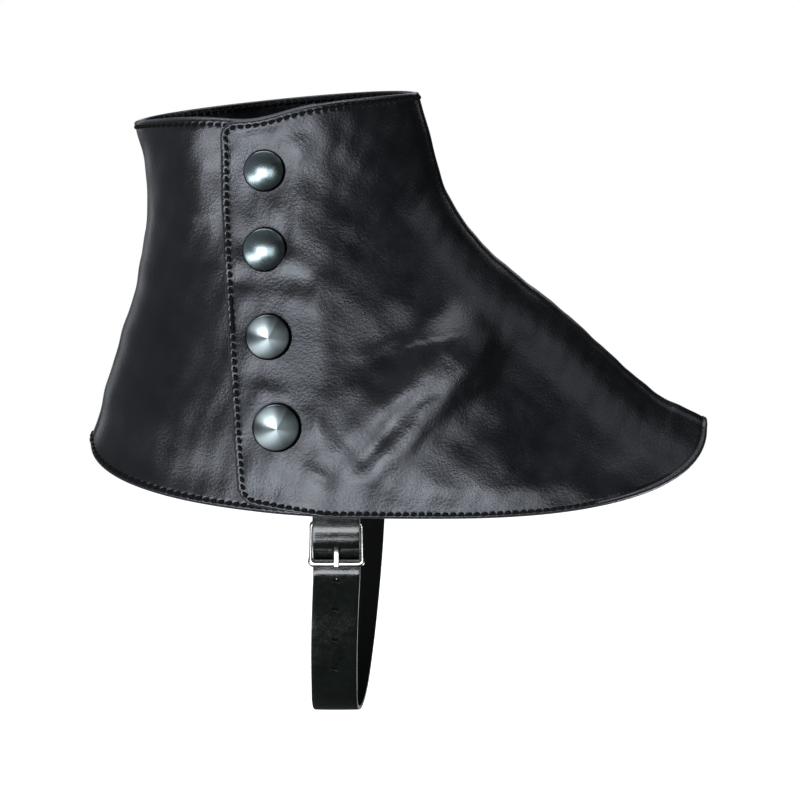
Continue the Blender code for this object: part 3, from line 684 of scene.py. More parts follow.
# %% Close a panel's wall
def stitch_count(points, paths):
    """How many stitches along the nearest row of stitches each point lies, halves at their middles."""
    flat = points.reshape(-1, 3)
    nearest = np.full(len(flat), np.inf)
    count = np.zeros(len(flat))
    for path in paths:
        steps = np.diff(path, axis=0)
        lengths = np.linalg.norm(steps, axis=1)
        travelled = np.concatenate([[0.0], np.cumsum(lengths)])
        start = (travelled[-1] % STITCH_PITCH) / 2
        for begin, step, length, before in zip(path, steps, lengths, travelled):
            if length == 0.0:
                continue
            share = np.clip((flat - begin) @ step / length**2, 0.0, 1.0)
            away = np.linalg.norm(flat - begin - share[:, None] * step, axis=1)
            closer = away < nearest
            nearest[closer] = away[closer]
            count[closer] = (before + share[closer] * length - start) / STITCH_PITCH
    return count.reshape(points.shape[:-1])


def turn_outward(mesh):
    """Makes all faces of a closed mesh face out of it, and smooth."""
    shape = bmesh.new()
    shape.from_mesh(mesh)
    bmesh.ops.recalc_face_normals(shape, faces=shape.faces)
    shape.to_mesh(mesh)
    shape.free()
    mesh.shade_smooth()


def wall_mesh(name, outer, inner, edge, paths):
    """A closed wall between two grids of points, storing its distance from edges and its stitches."""
    rows, columns = edge.shape
    index = np.arange(rows * columns).reshape(rows, columns)
    corners = (index[:-1, :-1], index[1:, :-1], index[1:, 1:], index[:-1, 1:])
    front = np.stack(corners, axis=-1).reshape(-1, 4)
    round_edge = np.concatenate([index[:-1, 0], index[-1, :-1], index[:0:-1, -1], index[0, :0:-1]])
    following = np.roll(round_edge, -1)
    back = index.size
    rim = np.stack([following, round_edge, round_edge + back, following + back], axis=-1)
    faces = np.concatenate([front, front[:, ::-1] + back, rim])
    points = np.concatenate([outer.reshape(-1, 3), inner.reshape(-1, 3)]) * MM
    mesh = bpy.data.meshes.new(name)
    mesh.from_pydata(points.tolist(), [], faces.tolist())
    for layer, values in (("edge", edge), ("stitches", stitch_count(outer, paths))):
        stored_layer = mesh.attributes.new(layer, "FLOAT", "POINT")
        stored_layer.data.foreach_set("value", np.tile(values.reshape(-1), 2).astype(np.float32))
    turn_outward(mesh)
    return mesh


def add_piece(name, mesh, finish, slot, *nodes):
    """Puts a piece in the scene in place of its plain solids; without a finish it keeps its own."""
    if finish:
        mesh.materials.append(finish)
    piece = put_in_scene(name, mesh)
    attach(piece, "root")
    if nodes:
        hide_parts(*nodes)
    return piece


print("stitches are", STITCH_PITCH, "mm apart, and", STITCH_IN, "mm inside each edge")

# %% [markdown]
# ## Finishes
#
# The panels are smooth calf leather dyed black: a satin surface with a fine grain, dye that is a
# little uneven, and edges rubbed to a shine. A picture of leather would need unwrapping and would
# repeat. So all of it comes from node textures that sit in the object's own space, with scales that
# count how often a texture changes in a metre.

# %% Helpers for finishes
CLOUDY = (0.3, 0.7)
PATCHY = (0.35, 0.7)
STREAKY = (0.3, 0.75)


def new_finish(name, colour, roughness, metallic=0.0):
    """A finish with one Principled shader, and a source of places on the object."""
    finish = bpy.data.materials.new(name)
    finish.use_nodes = True
    shader = finish.node_tree.nodes["Principled BSDF"]
    shader.inputs["Base Color"].default_value = (*colour, 1.0)
    shader.inputs["Roughness"].default_value = roughness
    shader.inputs["Metallic"].default_value = metallic
    places = finish.node_tree.nodes.new("ShaderNodeTexCoord")
    return finish, finish.node_tree, shader, places.outputs["Object"]


def noise(tree, places, scale, detail=3.0, roughness=0.55):
    """A cloudy texture."""
    node = tree.nodes.new("ShaderNodeTexNoise")
    node.inputs["Scale"].default_value = scale
    node.inputs["Detail"].default_value = detail
    node.inputs["Roughness"].default_value = roughness
    tree.links.new(places, node.inputs["Vector"])
    return node.outputs["Fac"]


def cells(tree, places, scale):
    """A texture of small cells, for the grain of a hide."""
    node = tree.nodes.new("ShaderNodeTexVoronoi")
    node.inputs["Scale"].default_value = scale
    tree.links.new(places, node.inputs["Vector"])
    return node.outputs["Distance"]


def fit(tree, value, low, high, new_low, new_high):
    """The value moved from one range to another."""
    node = tree.nodes.new("ShaderNodeMapRange")
    for name, number in zip(
        ("From Min", "From Max", "To Min", "To Max"), (low, high, new_low, new_high)
    ):
        node.inputs[name].default_value = number
    tree.links.new(value, node.inputs["Value"])
    return node.outputs["Result"]


def reckon(tree, way, first, second):
    """Two values put together by sum, product or another way."""
    node = tree.nodes.new("ShaderNodeMath")
    node.operation = way
    for place, value in zip(node.inputs, (first, second)):
        if isinstance(value, (int, float)):
            place.default_value = value
        else:
            tree.links.new(value, place)
    return node.outputs["Value"]


def blend(tree, share, first, second):
    """A colour between two colours."""
    node = tree.nodes.new("ShaderNodeMix")
    node.data_type = "RGBA"
    tree.links.new(share, node.inputs["Factor"])
    for place, colour in ((node.inputs[6], first), (node.inputs[7], second)):
        if isinstance(colour, tuple):
            place.default_value = (*colour, 1.0)
        else:
            tree.links.new(colour, place)
    return node.outputs[2]


def bump(tree, shader, layers):
    """Relief from several (height, distance in mm) layers, one on another."""
    normal = None
    for height, distance in layers:
        node = tree.nodes.new("ShaderNodeBump")
        node.inputs["Distance"].default_value = distance * MM
        tree.links.new(height, node.inputs["Height"])
        if normal is not None:
            tree.links.new(normal, node.inputs["Normal"])
        normal = node.outputs["Normal"]
    tree.links.new(normal, shader.inputs["Normal"])


def stored(tree, name):
    """A value that was stored on the mesh."""
    node = tree.nodes.new("ShaderNodeAttribute")
    node.attribute_name = name
    return node.outputs["Fac"]


print("relief heights are in units of", MM, "m")

# %% [markdown]
# ## The panels' leather and its thread
#
# Five reliefs lie one on another: the hide's soft hills, fine creases, the grain's cells, its pores, and
# the pucker that each stitch draws in the leather beside it. One noise with more detail would be
# simpler, but it looks like stone. The rubbed edges and the puckers follow the numbers that the
# panels' meshes store. Each panel is cut from its own hide, so each has its own finish.

# %% Mix the leathers
DYE_CLOUDS = 38.0
MOTTLES = 95.0
HILLS = 62.0
CREASES = 210.0
GRAIN_CELLS = 900.0
PORES = 2100.0
TWISTS = 1500.0
SATIN = (0.27, 0.40)
SATIN_MEAN = 0.3
COOL_GLEAM = (0.90, 0.93, 1.0, 1.0)
RUBBED_COLOUR = (0.045, 0.047, 0.053)
RUBBED_FROM_EDGE = (0.1, 0.9)
EDGE_POLISH = -0.08
EDGE_POLISH_WIDTH = 1.6
PUCKER_BEGINS = (0.9, 2.0)
PUCKER_ENDS = (2.4, 3.6)
HILL_HEIGHT = 0.24
CREASE_HEIGHT = 0.055
GRAIN_HEIGHT = 0.05
PORE_HEIGHT = 0.03
PUCKER_HEIGHT = 0.11
NEUTRAL_BLACK = ((0.0022, 0.0022, 0.0028), (0.0045, 0.0045, 0.0055))
WARM_BLACK = ((0.0026, 0.0022, 0.0028), (0.0055, 0.0048, 0.0055))
THREAD_BLACK = (0.002, 0.002, 0.002)
THREAD_DULL = 0.75
THREAD_GLEAM = 0.12
THREAD_TWIST_HEIGHT = 0.12


def panel_leather(name, dark, light):
    """Satin black calf leather."""
    finish, tree, shader, places = new_finish(name, dark, SATIN_MEAN)
    shader.inputs["Specular Tint"].default_value = COOL_GLEAM
    cloud = noise(tree, places, DYE_CLOUDS, detail=4.0)
    hide = blend(tree, fit(tree, cloud, *PATCHY, 0.0, 1.0), dark, light)
    edge = stored(tree, "edge")
    rubbed = fit(tree, edge, *RUBBED_FROM_EDGE, 1.0, 0.0)
    tree.links.new(blend(tree, rubbed, hide, RUBBED_COLOUR), shader.inputs["Base Color"])
    mottle = fit(tree, noise(tree, places, MOTTLES, detail=4.0), *CLOUDY, *SATIN)
    polish = fit(tree, edge, 0.0, EDGE_POLISH_WIDTH, EDGE_POLISH, 0.0)
    tree.links.new(reckon(tree, "ADD", mottle, polish), shader.inputs["Roughness"])
    hills = noise(tree, places, HILLS, detail=2.0, roughness=0.5)
    creases = noise(tree, places, CREASES, detail=4.0, roughness=0.6)
    grain = cells(tree, places, GRAIN_CELLS)
    pores = cells(tree, places, PORES)
    turns = reckon(tree, "MULTIPLY", stored(tree, "stitches"), 2 * math.pi)
    by_stitch = reckon(tree, "COSINE", turns, 0.0)
    beyond_edge = fit(tree, edge, *PUCKER_BEGINS, 0.0, 1.0)
    before_panel = fit(tree, edge, *PUCKER_ENDS, 1.0, 0.0)
    close_by = reckon(tree, "MULTIPLY", beyond_edge, before_panel)
    pucker = reckon(tree, "MULTIPLY", by_stitch, close_by)
    bump(tree, shader, (
        (hills, HILL_HEIGHT), (creases, CREASE_HEIGHT), (grain, GRAIN_HEIGHT), (pores, PORE_HEIGHT),
        (pucker, PUCKER_HEIGHT),
    ))
    return finish


def waxed_thread():
    """Dull black thread with a fine twist."""
    finish, tree, shader, places = new_finish("waxed_thread", THREAD_BLACK, THREAD_DULL)
    shader.inputs["Specular IOR Level"].default_value = THREAD_GLEAM
    bump(tree, shader, ((noise(tree, places, TWISTS, detail=2.0), THREAD_TWIST_HEIGHT),))
    return finish


outer_leather = panel_leather("outer_leather", *NEUTRAL_BLACK)
inner_leather = panel_leather("inner_leather", *NEUTRAL_BLACK)
back_leather = panel_leather("back_leather", *WARM_BLACK)
thread = waxed_thread()
print("finishes for the panels: 3 leathers and a thread")

# %% [markdown]
# ## The panels
#
# The outer front panel carries the flap and runs over the instep; the outer back panel runs from
# the heel and under the flap; the inner panel is one piece from heel to toe. One sheet with a thickness
# modifier would be quicker, but it would give every panel the same edge. So each is its own closed
# wall, laid on the form, with its folds, rounded edges and the relief of its seams.

# %% Find where the stitches run
CORNER_IN = FLAP_CORNER - STITCH_IN
CORNER_TURNS = np.radians(np.arange(0.0, 91.0, 15.0))
PATH_STEP = 1.5
MIDDLE_COLUMN = 40
STITCH_ROW = CLOSE_ROWS.index(STITCH_IN)


def read_grid(values, grid_rows, row_at, grid_columns, column_at):
    """A value of the panel's grid at real distances from its rim or hem and its first edge."""
    by_column = np.array([
        [np.interp(row_at, grid_rows[:, j], values[:, j, i]) for i in range(3)]
        for j in range(values.shape[1])
    ])
    places = np.array([
        np.interp(row_at, grid_rows[:, j], grid_columns[:, j]) for j in range(values.shape[1])
    ])
    return np.array([np.interp(column_at, places, by_column[:, i]) for i in range(3)])


def flap_path(grid, values):
    """The line two millimetres inside the flap: its hem, its free edge, its rim."""
    picked = []
    width = grid.from_start.mean(axis=0)[-1]
    halfway = grid.from_rim[:, MIDDLE_COLUMN].max() * 0.5
    past_corner = FLAP_CORNER + PATH_STEP
    hem_side = [
        (x, "hem", STITCH_IN) for x in np.arange(width - PATH_STEP, FLAP_CORNER, -PATH_STEP)
    ]
    low_corner = [
        (FLAP_CORNER - CORNER_IN * math.sin(t), "hem", FLAP_CORNER - CORNER_IN * math.cos(t))
        for t in CORNER_TURNS
    ]
    up_side = [(STITCH_IN, "hem", h) for h in np.arange(past_corner, halfway, PATH_STEP)]
    up_side += [(STITCH_IN, "rim", h) for h in np.arange(halfway, FLAP_CORNER, -PATH_STEP)]
    top_corner = [(x, "rim", h) for x, _, h in low_corner[::-1]]
    rim_side = [(x, "rim", STITCH_IN) for x in np.arange(past_corner, width, PATH_STEP)]
    rising_hem = grid.from_hem[::-1]
    for x, measured, h in hem_side + low_corner + up_side + top_corner + rim_side:
        if measured == "rim":
            picked.append(read_grid(values, grid.from_rim, h, grid.from_start, x))
        else:
            picked.append(read_grid(values[::-1], rising_hem, h, grid.from_start[::-1], x))
    return np.array(picked)


def rim_and_hem_rows(faces):
    """The rows of stitches along a panel's rim and its hem, as (points, outward directions)."""
    return [(faces.outer[row], faces.out[row]) for row in (STITCH_ROW, -1 - STITCH_ROW)]


def add_panel(name, faces, rows, leather, node):
    """Makes a panel from its two faces and puts it in the scene."""
    mesh = wall_mesh(name, faces.outer, faces.inner, faces.edge, [points for points, _ in rows])
    print(name, "has", len(mesh.polygons), "faces")
    return add_piece(name, mesh, leather, "panel_leather", node)


print("the stitches lie in row", STITCH_ROW, "of each panel's grid")

# %% Build the outer front panel
OUTER_SPACING = 1.0

front_grid = lay_out(OUTER, flap_edge, instep_line, OUTER_SPACING, flap_trim)
rim_cut, hem_cut = flap_trim(front_grid.from_start)
front_grid = front_grid._replace(from_hem=front_grid.from_hem - (hem_cut - rim_cut))
front_free = np.minimum(
    corner_distance(front_grid.from_start, front_grid.from_rim),
    corner_distance(front_grid.from_start, front_grid.from_hem),
)
front_faces = shape_faces(
    front_grid, OUTER, OUTER_FOLDS, front_free, front_grid.from_end, laps=True
)
flap_row = (flap_path(front_grid, front_faces.outer), flap_path(front_grid, front_faces.out))
front_panel = add_panel(
    "leather_outer_front", front_faces, [flap_row], outer_leather, "outer_front_panel"
)

# %% Build the outer back panel
back_grid = lay_out(OUTER, heel_line, underlap_edge, OUTER_SPACING)
back_faces = shape_faces(
    back_grid, OUTER, BACK_FOLDS, back_grid.from_end, back_grid.from_start
)
back_rows = rim_and_hem_rows(back_faces)
back_panel = add_panel(
    "leather_outer_back", back_faces, back_rows, back_leather, "outer_back_panel"
)

# %% Build the inner panel
INNER_SPACING = 1.15
NO_FREE_EDGE = 99.0

inner_grid = lay_out(INNER, heel_line, instep_line, INNER_SPACING)
inner_free = np.full_like(inner_grid.down, NO_FREE_EDGE)
inner_seam = np.minimum(inner_grid.from_start, inner_grid.from_end)
inner_faces = shape_faces(inner_grid, INNER, INNER_FOLDS, inner_free, inner_seam)
inner_rows = rim_and_hem_rows(inner_faces)
inner_panel = add_panel("leather_inner", inner_faces, inner_rows, inner_leather, "inner_panel")

# %% [markdown]
# ## Stitching
#
# A heavy black thread runs in even stitches about two millimetres inside every edge. Each stitch is
# modelled: a short round arch of thread that comes out of one hole and goes down the next, lying a
# little slant to the row. A painted dash would be quicker, but it would not stand off the leather or
# catch light at its ends.

# %% Sew along paths on the panels
STITCH_LONG = 2.6
STITCH_SLANT = math.radians(20)
STITCH_RISE = 0.16
STITCH_DIVE = 0.55
THREAD_RADIUS = 0.62
THREAD_NARROWS = 0.35
STATIONS = 7
SIDES = 6


def along_path(points, outs, pitch):
    """Even places on a path, with the path's and the leather's directions there."""
    lengths = np.linalg.norm(np.diff(points, axis=0), axis=1)
    travelled = np.concatenate([[0.0], np.cumsum(lengths)])
    count = int(travelled[-1] // pitch)
    start = (travelled[-1] - count * pitch) / 2
    middles = start + pitch * (np.arange(count) + 0.5)

    def read(values, at):
        return np.stack([np.interp(at, travelled, values[:, i]) for i in range(3)], axis=-1)

    run = unit(read(points, middles + 0.5) - read(points, middles - 0.5))
    return read(points, middles), run, unit(read(outs, middles))


def thread_mesh(name, rows):
    """All the stitches of some paths in one mesh."""
    points, faces = [], []
    turns = 2 * math.pi * np.arange(SIDES) / SIDES
    for path, outs in rows:
        for middle, run, out in zip(*along_path(path, outs, STITCH_PITCH)):
            across = np.cross(out, run)
            run = unit(run * math.cos(STITCH_SLANT) + across * math.sin(STITCH_SLANT))
            across = np.cross(out, run)
            base = len(points)
            for s in range(STATIONS):
                t = 2.0 * s / (STATIONS - 1) - 1.0
                rise = STITCH_RISE - STITCH_DIVE * t**4
                radius = THREAD_RADIUS * (1.0 - THREAD_NARROWS * t**4)
                centre = middle + run * (t * STITCH_LONG / 2) + out * rise
                for turn in turns:
                    offset = across * math.cos(turn) + out * math.sin(turn)
                    points.append((centre + offset * radius) * MM)
            for s in range(STATIONS - 1):
                for k in range(SIDES):
                    n = (k + 1) % SIDES
                    low = base + s * SIDES
                    faces.append((low + k, low + n, low + SIDES + n, low + SIDES + k))
            faces.append(tuple(base + k for k in reversed(range(SIDES))))
            last = base + (STATIONS - 1) * SIDES
            faces.append(tuple(last + k for k in range(SIDES)))
    mesh = bpy.data.meshes.new(name)
    mesh.from_pydata([tuple(p) for p in points], [], faces)
    mesh.shade_smooth()
    return mesh


def add_thread(name, rows):
    """Sews some rows and puts their thread in the scene."""
    mesh = thread_mesh(name, rows)
    print(name, "has", len(mesh.polygons), "faces")
    return add_piece(name, mesh, thread, "panel_leather")


front_thread = add_thread("thread_outer_front", [flap_row])
back_thread = add_thread("thread_outer_back", back_rows)
inside_row = (inner_faces.inner[STITCH_ROW], -inner_faces.out[STITCH_ROW])
inner_thread = add_thread("thread_inner", inner_rows + [inside_row])

# %% [markdown]
# ## Snaps
#
# Each snap has a domed cap, pressed from sheet metal with its edge rolled under, and a flat post
# behind the underlap. A squashed ball would have no rolled edge, so a profile is turned about the
# axis for each cap. The posts are plain discs, so the imported solids stay and only get their metal.
#
# The two lower caps are brushed round their axis. Their fans of light run from the middle to the edge
# and are bright towards the upper left. They are painted reflections: a brushed finish could be left to
# anisotropy, but here each fan is painted into the cap's colour by its turn, its width and its
# brightness, and lies where the photograph has it. All four caps also have painted shade on their
# rolled edges, darkest at the lower right.

# %% Turn the caps
CAP_ROLL = 1.15
CAP_ROLL_FROM = -60.0
CAP_ROLL_STEPS = 14
CAP_FOOT = 0.8
CAP_FOOT_EDGE = 0.9
CAP_FOOT_LIFT = 0.06
CAP_DOME_STEPS = 19
SEARCH_STEPS = 40


def turned(name, profile, segments):
    """A closed body turned about Z from (radius, height) pairs that start and end on Z."""
    turns = 2 * math.pi * np.arange(segments) / segments
    points = [(0.0, 0.0, profile[0][1] * MM)]
    for radius, height in profile[1:-1]:
        points += [
            (radius * MM * math.cos(t), radius * MM * math.sin(t), height * MM) for t in turns
        ]
    points.append((0.0, 0.0, profile[-1][1] * MM))
    faces = []
    rings = len(profile) - 2
    for s in range(segments):
        t = (s + 1) % segments
        faces.append((0, 1 + t, 1 + s))
        for r in range(rings - 1):
            low = 1 + r * segments
            faces.append((low + s, low + t, low + segments + t, low + segments + s))
        last = 1 + (rings - 1) * segments
        faces.append((last + s, last + t, len(points) - 1))
    mesh = bpy.data.meshes.new(name)
    mesh.from_pydata(points, [], faces)
    mesh.shade_smooth()
    return mesh


def cap_profile(radius, shoulder_turn, dome_power):
    """A dome with a steep rolled edge; the dome takes over where the roll has turned far enough."""
    profile = [(0.0, 0.0), (radius * CAP_FOOT, 0.0), (radius * CAP_FOOT_EDGE, CAP_FOOT_LIFT)]
    centre = radius - CAP_ROLL
    for turn in np.linspace(CAP_ROLL_FROM, shoulder_turn, CAP_ROLL_STEPS):
        slope = math.radians(turn)
        profile.append((centre + CAP_ROLL * math.cos(slope), CAP_ROLL * (1.0 + math.sin(slope))))
    reach, shoulder = profile[-1]
    crown = reach / dome_power * math.tan(math.radians(90.0 - shoulder_turn))
    for share in np.linspace(0.95, 0.05, CAP_DOME_STEPS):
        profile.append((reach * share, shoulder + crown * (1.0 - share**dome_power)))
    profile.append((0.0, shoulder + crown))
    return profile


def surface_place(x, z, lift):
    """The place on the outer side that is seen at a given x and z, and its outward direction."""
    low, high = 0.0, 1.0
    for _ in range(SEARCH_STEPS):
        level = (low + high) / 2
        point, out = skin(np.array(level), angle_at_x(np.array(level), x), OUTER)
        raised = point + out * lift
        low, high = (level, high) if raised[2] > z else (low, level)
    return raised, out


print("a cap's rolled edge has a radius of", CAP_ROLL, "mm")

# %% Mix the metals
SMEARS = 260.0
METAL_CLOUDS = 120.0
SMEAR_DULLS = (0.9, 1.15)
CLOUD_DARKENS = 0.8
BLACK = (0.0, 0.0, 0.0)
# Painted shade: the caps' rolled edges are painted near black, darkest at the lower right.
PAINTED_EDGE_SHADE = 0.03
PAINTED_SHADE_HEIGHT = 2.12
PAINTED_SHADE_SWAY = 0.32
PAINTED_SHADE_TURN = math.radians(35.0)
PAINTED_SHADE_FADE = (-0.10, 0.12)
# Painted reflections on the brushed caps: bright fans painted into their colour, with dim colour
# between.
FAN_FULLNESS = 4.0
BETWEEN_FANS = 0.09
Fan = namedtuple("Fan", "turn width brightness")
PAINTED_FANS = (Fan(125.0, 34.0, 0.9), Fan(-115.0, 42.0, 0.28), Fan(-45.0, 35.0, 0.10), Fan(75.0, 14.0, 0.12))


def metal(name, colour, roughness):
    """Plated metal with faint smears."""
    finish, tree, shader, places = new_finish(name, colour, roughness, 1.0)
    smear = noise(tree, places, SMEARS, detail=4.0)
    dulled = fit(tree, smear, *STREAKY, *(roughness * share for share in SMEAR_DULLS))
    tree.links.new(dulled, shader.inputs["Roughness"])
    cloud = fit(tree, noise(tree, places, METAL_CLOUDS, detail=2.0), *CLOUDY, 0.0, 1.0)
    darker = tuple(CLOUD_DARKENS * c for c in colour)
    tree.links.new(blend(tree, cloud, darker, colour), shader.inputs["Base Color"])
    return finish, tree, shader, places


def painted_fan_reflections(tree, turn):
    """Painted reflections: how bright a brushed cap's colour is painted at each turn round its axis."""
    sheen = BETWEEN_FANS
    for fan in PAINTED_FANS:
        away = reckon(tree, "SUBTRACT", turn, math.radians(fan.turn))
        within = reckon(tree, "DIVIDE", away, math.radians(fan.width))
        fall = reckon(tree, "POWER", within, FAN_FULLNESS)
        lobe = reckon(tree, "EXPONENT", reckon(tree, "MULTIPLY", fall, -1.0), 0.0)
        sheen = reckon(tree, "ADD", reckon(tree, "MULTIPLY", lobe, fan.brightness), sheen)
    return sheen


def cap_metal(name, colour, roughness, brushed):
    """Gunmetal with painted shade on its rolled edge, darkest at the lower right, away from the light.
    """
    finish, tree, shader, places = metal(name, colour, roughness)
    split = tree.nodes.new("ShaderNodeSeparateXYZ")
    tree.links.new(places, split.inputs["Vector"])
    turn = reckon(tree, "ARCTAN2", split.outputs["Y"], split.outputs["X"])
    # Painted shade: the dark band rises highest on the lower right, the side away from the light.
    toward_shade_side = reckon(tree, "COSINE", reckon(tree, "ADD", turn, PAINTED_SHADE_TURN), 0.0)
    shade_sway = reckon(tree, "MULTIPLY", toward_shade_side, PAINTED_SHADE_SWAY * MM)
    shade_line = reckon(tree, "ADD", shade_sway, PAINTED_SHADE_HEIGHT * MM)
    above_shade_line = reckon(tree, "SUBTRACT", split.outputs["Z"], shade_line)
    painted_light_share = fit(tree, above_shade_line, *(height * MM for height in PAINTED_SHADE_FADE), PAINTED_EDGE_SHADE, 1.0)
    if brushed:
        # Painted reflections: the brushed caps' colour is multiplied by the painted fans.
        painted_light_share = reckon(tree, "MULTIPLY", painted_light_share, painted_fan_reflections(tree, turn))
    tree.links.new(blend(tree, painted_light_share, BLACK, colour), shader.inputs["Base Color"])
    return finish


# Both cap metals carry painted shade on their rolled edges.
smooth_cap_painted_shade = cap_metal("gunmetal_polished_painted_shade", (0.19, 0.235, 0.245), 0.28, False)
brushed_cap_painted_light = cap_metal("gunmetal_brushed_painted_light", (0.34, 0.40, 0.41), 0.36, True)
post_metal = metal("post_nickel", (0.34, 0.36, 0.37), 0.32)[0]
print("metals for", len(SNAPS), "snaps:", smooth_cap_painted_shade.name, brushed_cap_painted_light.name, post_metal.name)

# %% Set the snaps
CAP_SIDES = 72
CAP_STANDS_OFF = 0.12
CapShape = namedtuple("CapShape", "shoulder_turn dome_power")
SMOOTH_CAP = CapShape(58.0, 2.0)
BRUSHED_CAP = CapShape(70.0, 2.16)

for number, snap in enumerate(SNAPS, start=1):
    place, out = surface_place(snap.x, snap.z, LEATHER + GAP)
    to_right = Matrix.Rotation(math.radians(snap.turned_right), 3, "Z")
    downward = Matrix.Rotation(math.radians(snap.turned_down), 3, "X")
    facing = (to_right @ downward @ Vector(out)).to_track_quat("Z", "Y").to_matrix().to_4x4()
    profile = cap_profile(snap.across / 2, *(BRUSHED_CAP if snap.brushed else SMOOTH_CAP))
    cap = add_piece(
        f"cap_{number}", turned(f"cap_{number}", profile, CAP_SIDES),
        brushed_cap_painted_light if snap.brushed else smooth_cap_painted_shade, "gunmetal", f"snap_cap_{number}",
    )
    cap.matrix_world = Matrix.Translation(Vector((place + out * CAP_STANDS_OFF) * MM)) @ facing
    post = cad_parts[f"snap_post_{number}"]
    post.data.materials.clear()
    post.data.materials.append(post_metal)
    print("cap", number, "at", [round(float(v), 1) for v in place])

# %% [markdown]
# ## The strap
#
# The strap is a flat ribbon of hard, glossy leather. It is sewn inside the inner hem, hangs in a
# loop below the arch, rises on the outer side, goes behind the buckle's front bar and over the tab,
# and ends out of sight behind the outer hem. A curve with a bevel would twist where the route leans.
# So one rounded section is swept along the route with its width kept across the foot, and the holes
# are cut through it after.

# %% Follow the strap's route
STRAP_WIDTH = 17.6
STRAP_THICK = 2.0
STRAP_X = 23.3
STRAP_LEAN = 9.5
STRAP_SEWN_Z = (-90.0, -99.0, -108.0, -116.0)
SEWN_CLEAR = 0.15
WALL_SIDE = 0.5
WALL_HEIGHT = 3.5
STRAP_STEP = 0.8
STRAP_LOOP = (
    (32.2, 38.5, -130.0), (31.0, 35.0, -150.0), (29.2, 30.0, -170.0), (27.3, 23.5, -186.0),
    (25.2, 13.0, -198.2), (23.2, 0.0, -202.3), (21.8, -13.0, -198.2), (21.8, -23.5, -186.0),
    (22.0, -30.0, -170.0), (22.6, -34.5, -154.0),
)
STRAP_IN_BUCKLE = (
    (-2.5, -19.5), (-2.5, -16.0), (-2.4, -13.6), (-0.2, -10.6), (2.6, -8.2), (3.6, -6.6),
    (4.0, -4.9), (4.7, -2.4), (4.55, 0.5), (3.6, 8.0), (2.6, 15.0),
)
HEEL_BAR_Y = -39.5
HEEL_BAR_Z = -120.4
BUCKLE_LEAN = math.radians(8.0)


def in_buckle(out, up, x=STRAP_X):
    """A place of the buckle: out is away from the foot, up is along its frame from the heel bar."""
    y = HEEL_BAR_Y - out * math.cos(BUCKLE_LEAN) + up * math.sin(BUCKLE_LEAN)
    return np.array([x, y, HEEL_BAR_Z + out * math.sin(BUCKLE_LEAN) + up * math.cos(BUCKLE_LEAN)])


def inside_wall(face, x, z, clear, width):
    """A place just inside a panel's inner face, clear of it over a strip's whole width."""
    beside = np.abs(face[..., 0] - x) < width / 2 + WALL_SIDE
    level = np.abs(face[..., 2] - z) < WALL_HEIGHT
    wall = face[beside & level][:, 1]
    reach = np.abs(wall).min() - clear
    return np.array([x, math.copysign(reach, wall[0]), z])


def smooth_route(points, step):
    """Points about a step apart on a smooth curve through a route's own points."""
    points = np.array(points, float)
    lengths = np.linalg.norm(np.diff(points, axis=0), axis=1)
    along = np.concatenate([[0.0], np.cumsum(lengths)])
    places = np.linspace(0.0, along[-1], int(round(along[-1] / step)) + 1)
    return np.stack([curve_through(along, points[:, i], places) for i in range(3)], axis=-1)


strap_clear = STRAP_THICK / 2 + SEWN_CLEAR
strap_points = [
    inside_wall(inner_faces.inner, STRAP_X + STRAP_LEAN, z, strap_clear, STRAP_WIDTH)
    for z in STRAP_SEWN_Z
]
strap_points += [np.array(place) for place in STRAP_LOOP]
strap_points += [in_buckle(*place) for place in STRAP_IN_BUCKLE]
strap_route = smooth_route(strap_points, STRAP_STEP)
strap_length = np.linalg.norm(np.diff(strap_route, axis=0), axis=1).sum()
print("strap:", round(float(strap_length)), "mm along its route")

# %% [markdown]
# ## Sweeping and cutting leather strips
#
# The strap and the buckle's tab are cut from the same hide, and so are alike: a polished grain side,
# a dull flesh side and pale cut edges. The side that a face lies on is known while the section is
# swept, so its finish is chosen there. Painting the finishes on afterwards would take longer.

# %% Sweep a section along a route
CORNER_STEPS = 4
CROWN_SHARES = np.linspace(0.8, -0.8, 9)
CUT_EDGE_WIDE = 0.2
STRAP_SHARP_EDGE = math.radians(50)
HOLE_SHARP_EDGE = math.radians(35)
ACROSS_FOOT = np.array([1.0, 0.0, 0.0])
GRAIN_SIDE, FLESH_SIDE, CUT_EDGE = 0, 1, 2


def ribbon_section(width, thick, crown=0.12, corner=0.45):
    """A flat section with rounded corners and slightly crowned faces, as (across, out) pairs."""
    section = []
    for right, front, start in ((1, -1, -90), (1, 1, 0), (-1, 1, 90), (-1, -1, 180)):
        for s in range(CORNER_STEPS + 1):
            turn = math.radians(start + 90 * s / CORNER_STEPS)
            section.append((
                right * (width / 2 - corner) + corner * math.cos(turn),
                front * (thick / 2 - corner - crown) + corner * math.sin(turn),
            ))
        if right == front:
            for share in CROWN_SHARES:
                section.append((right * share * width / 2, front * (thick / 2 - crown * share**2)))
    return section


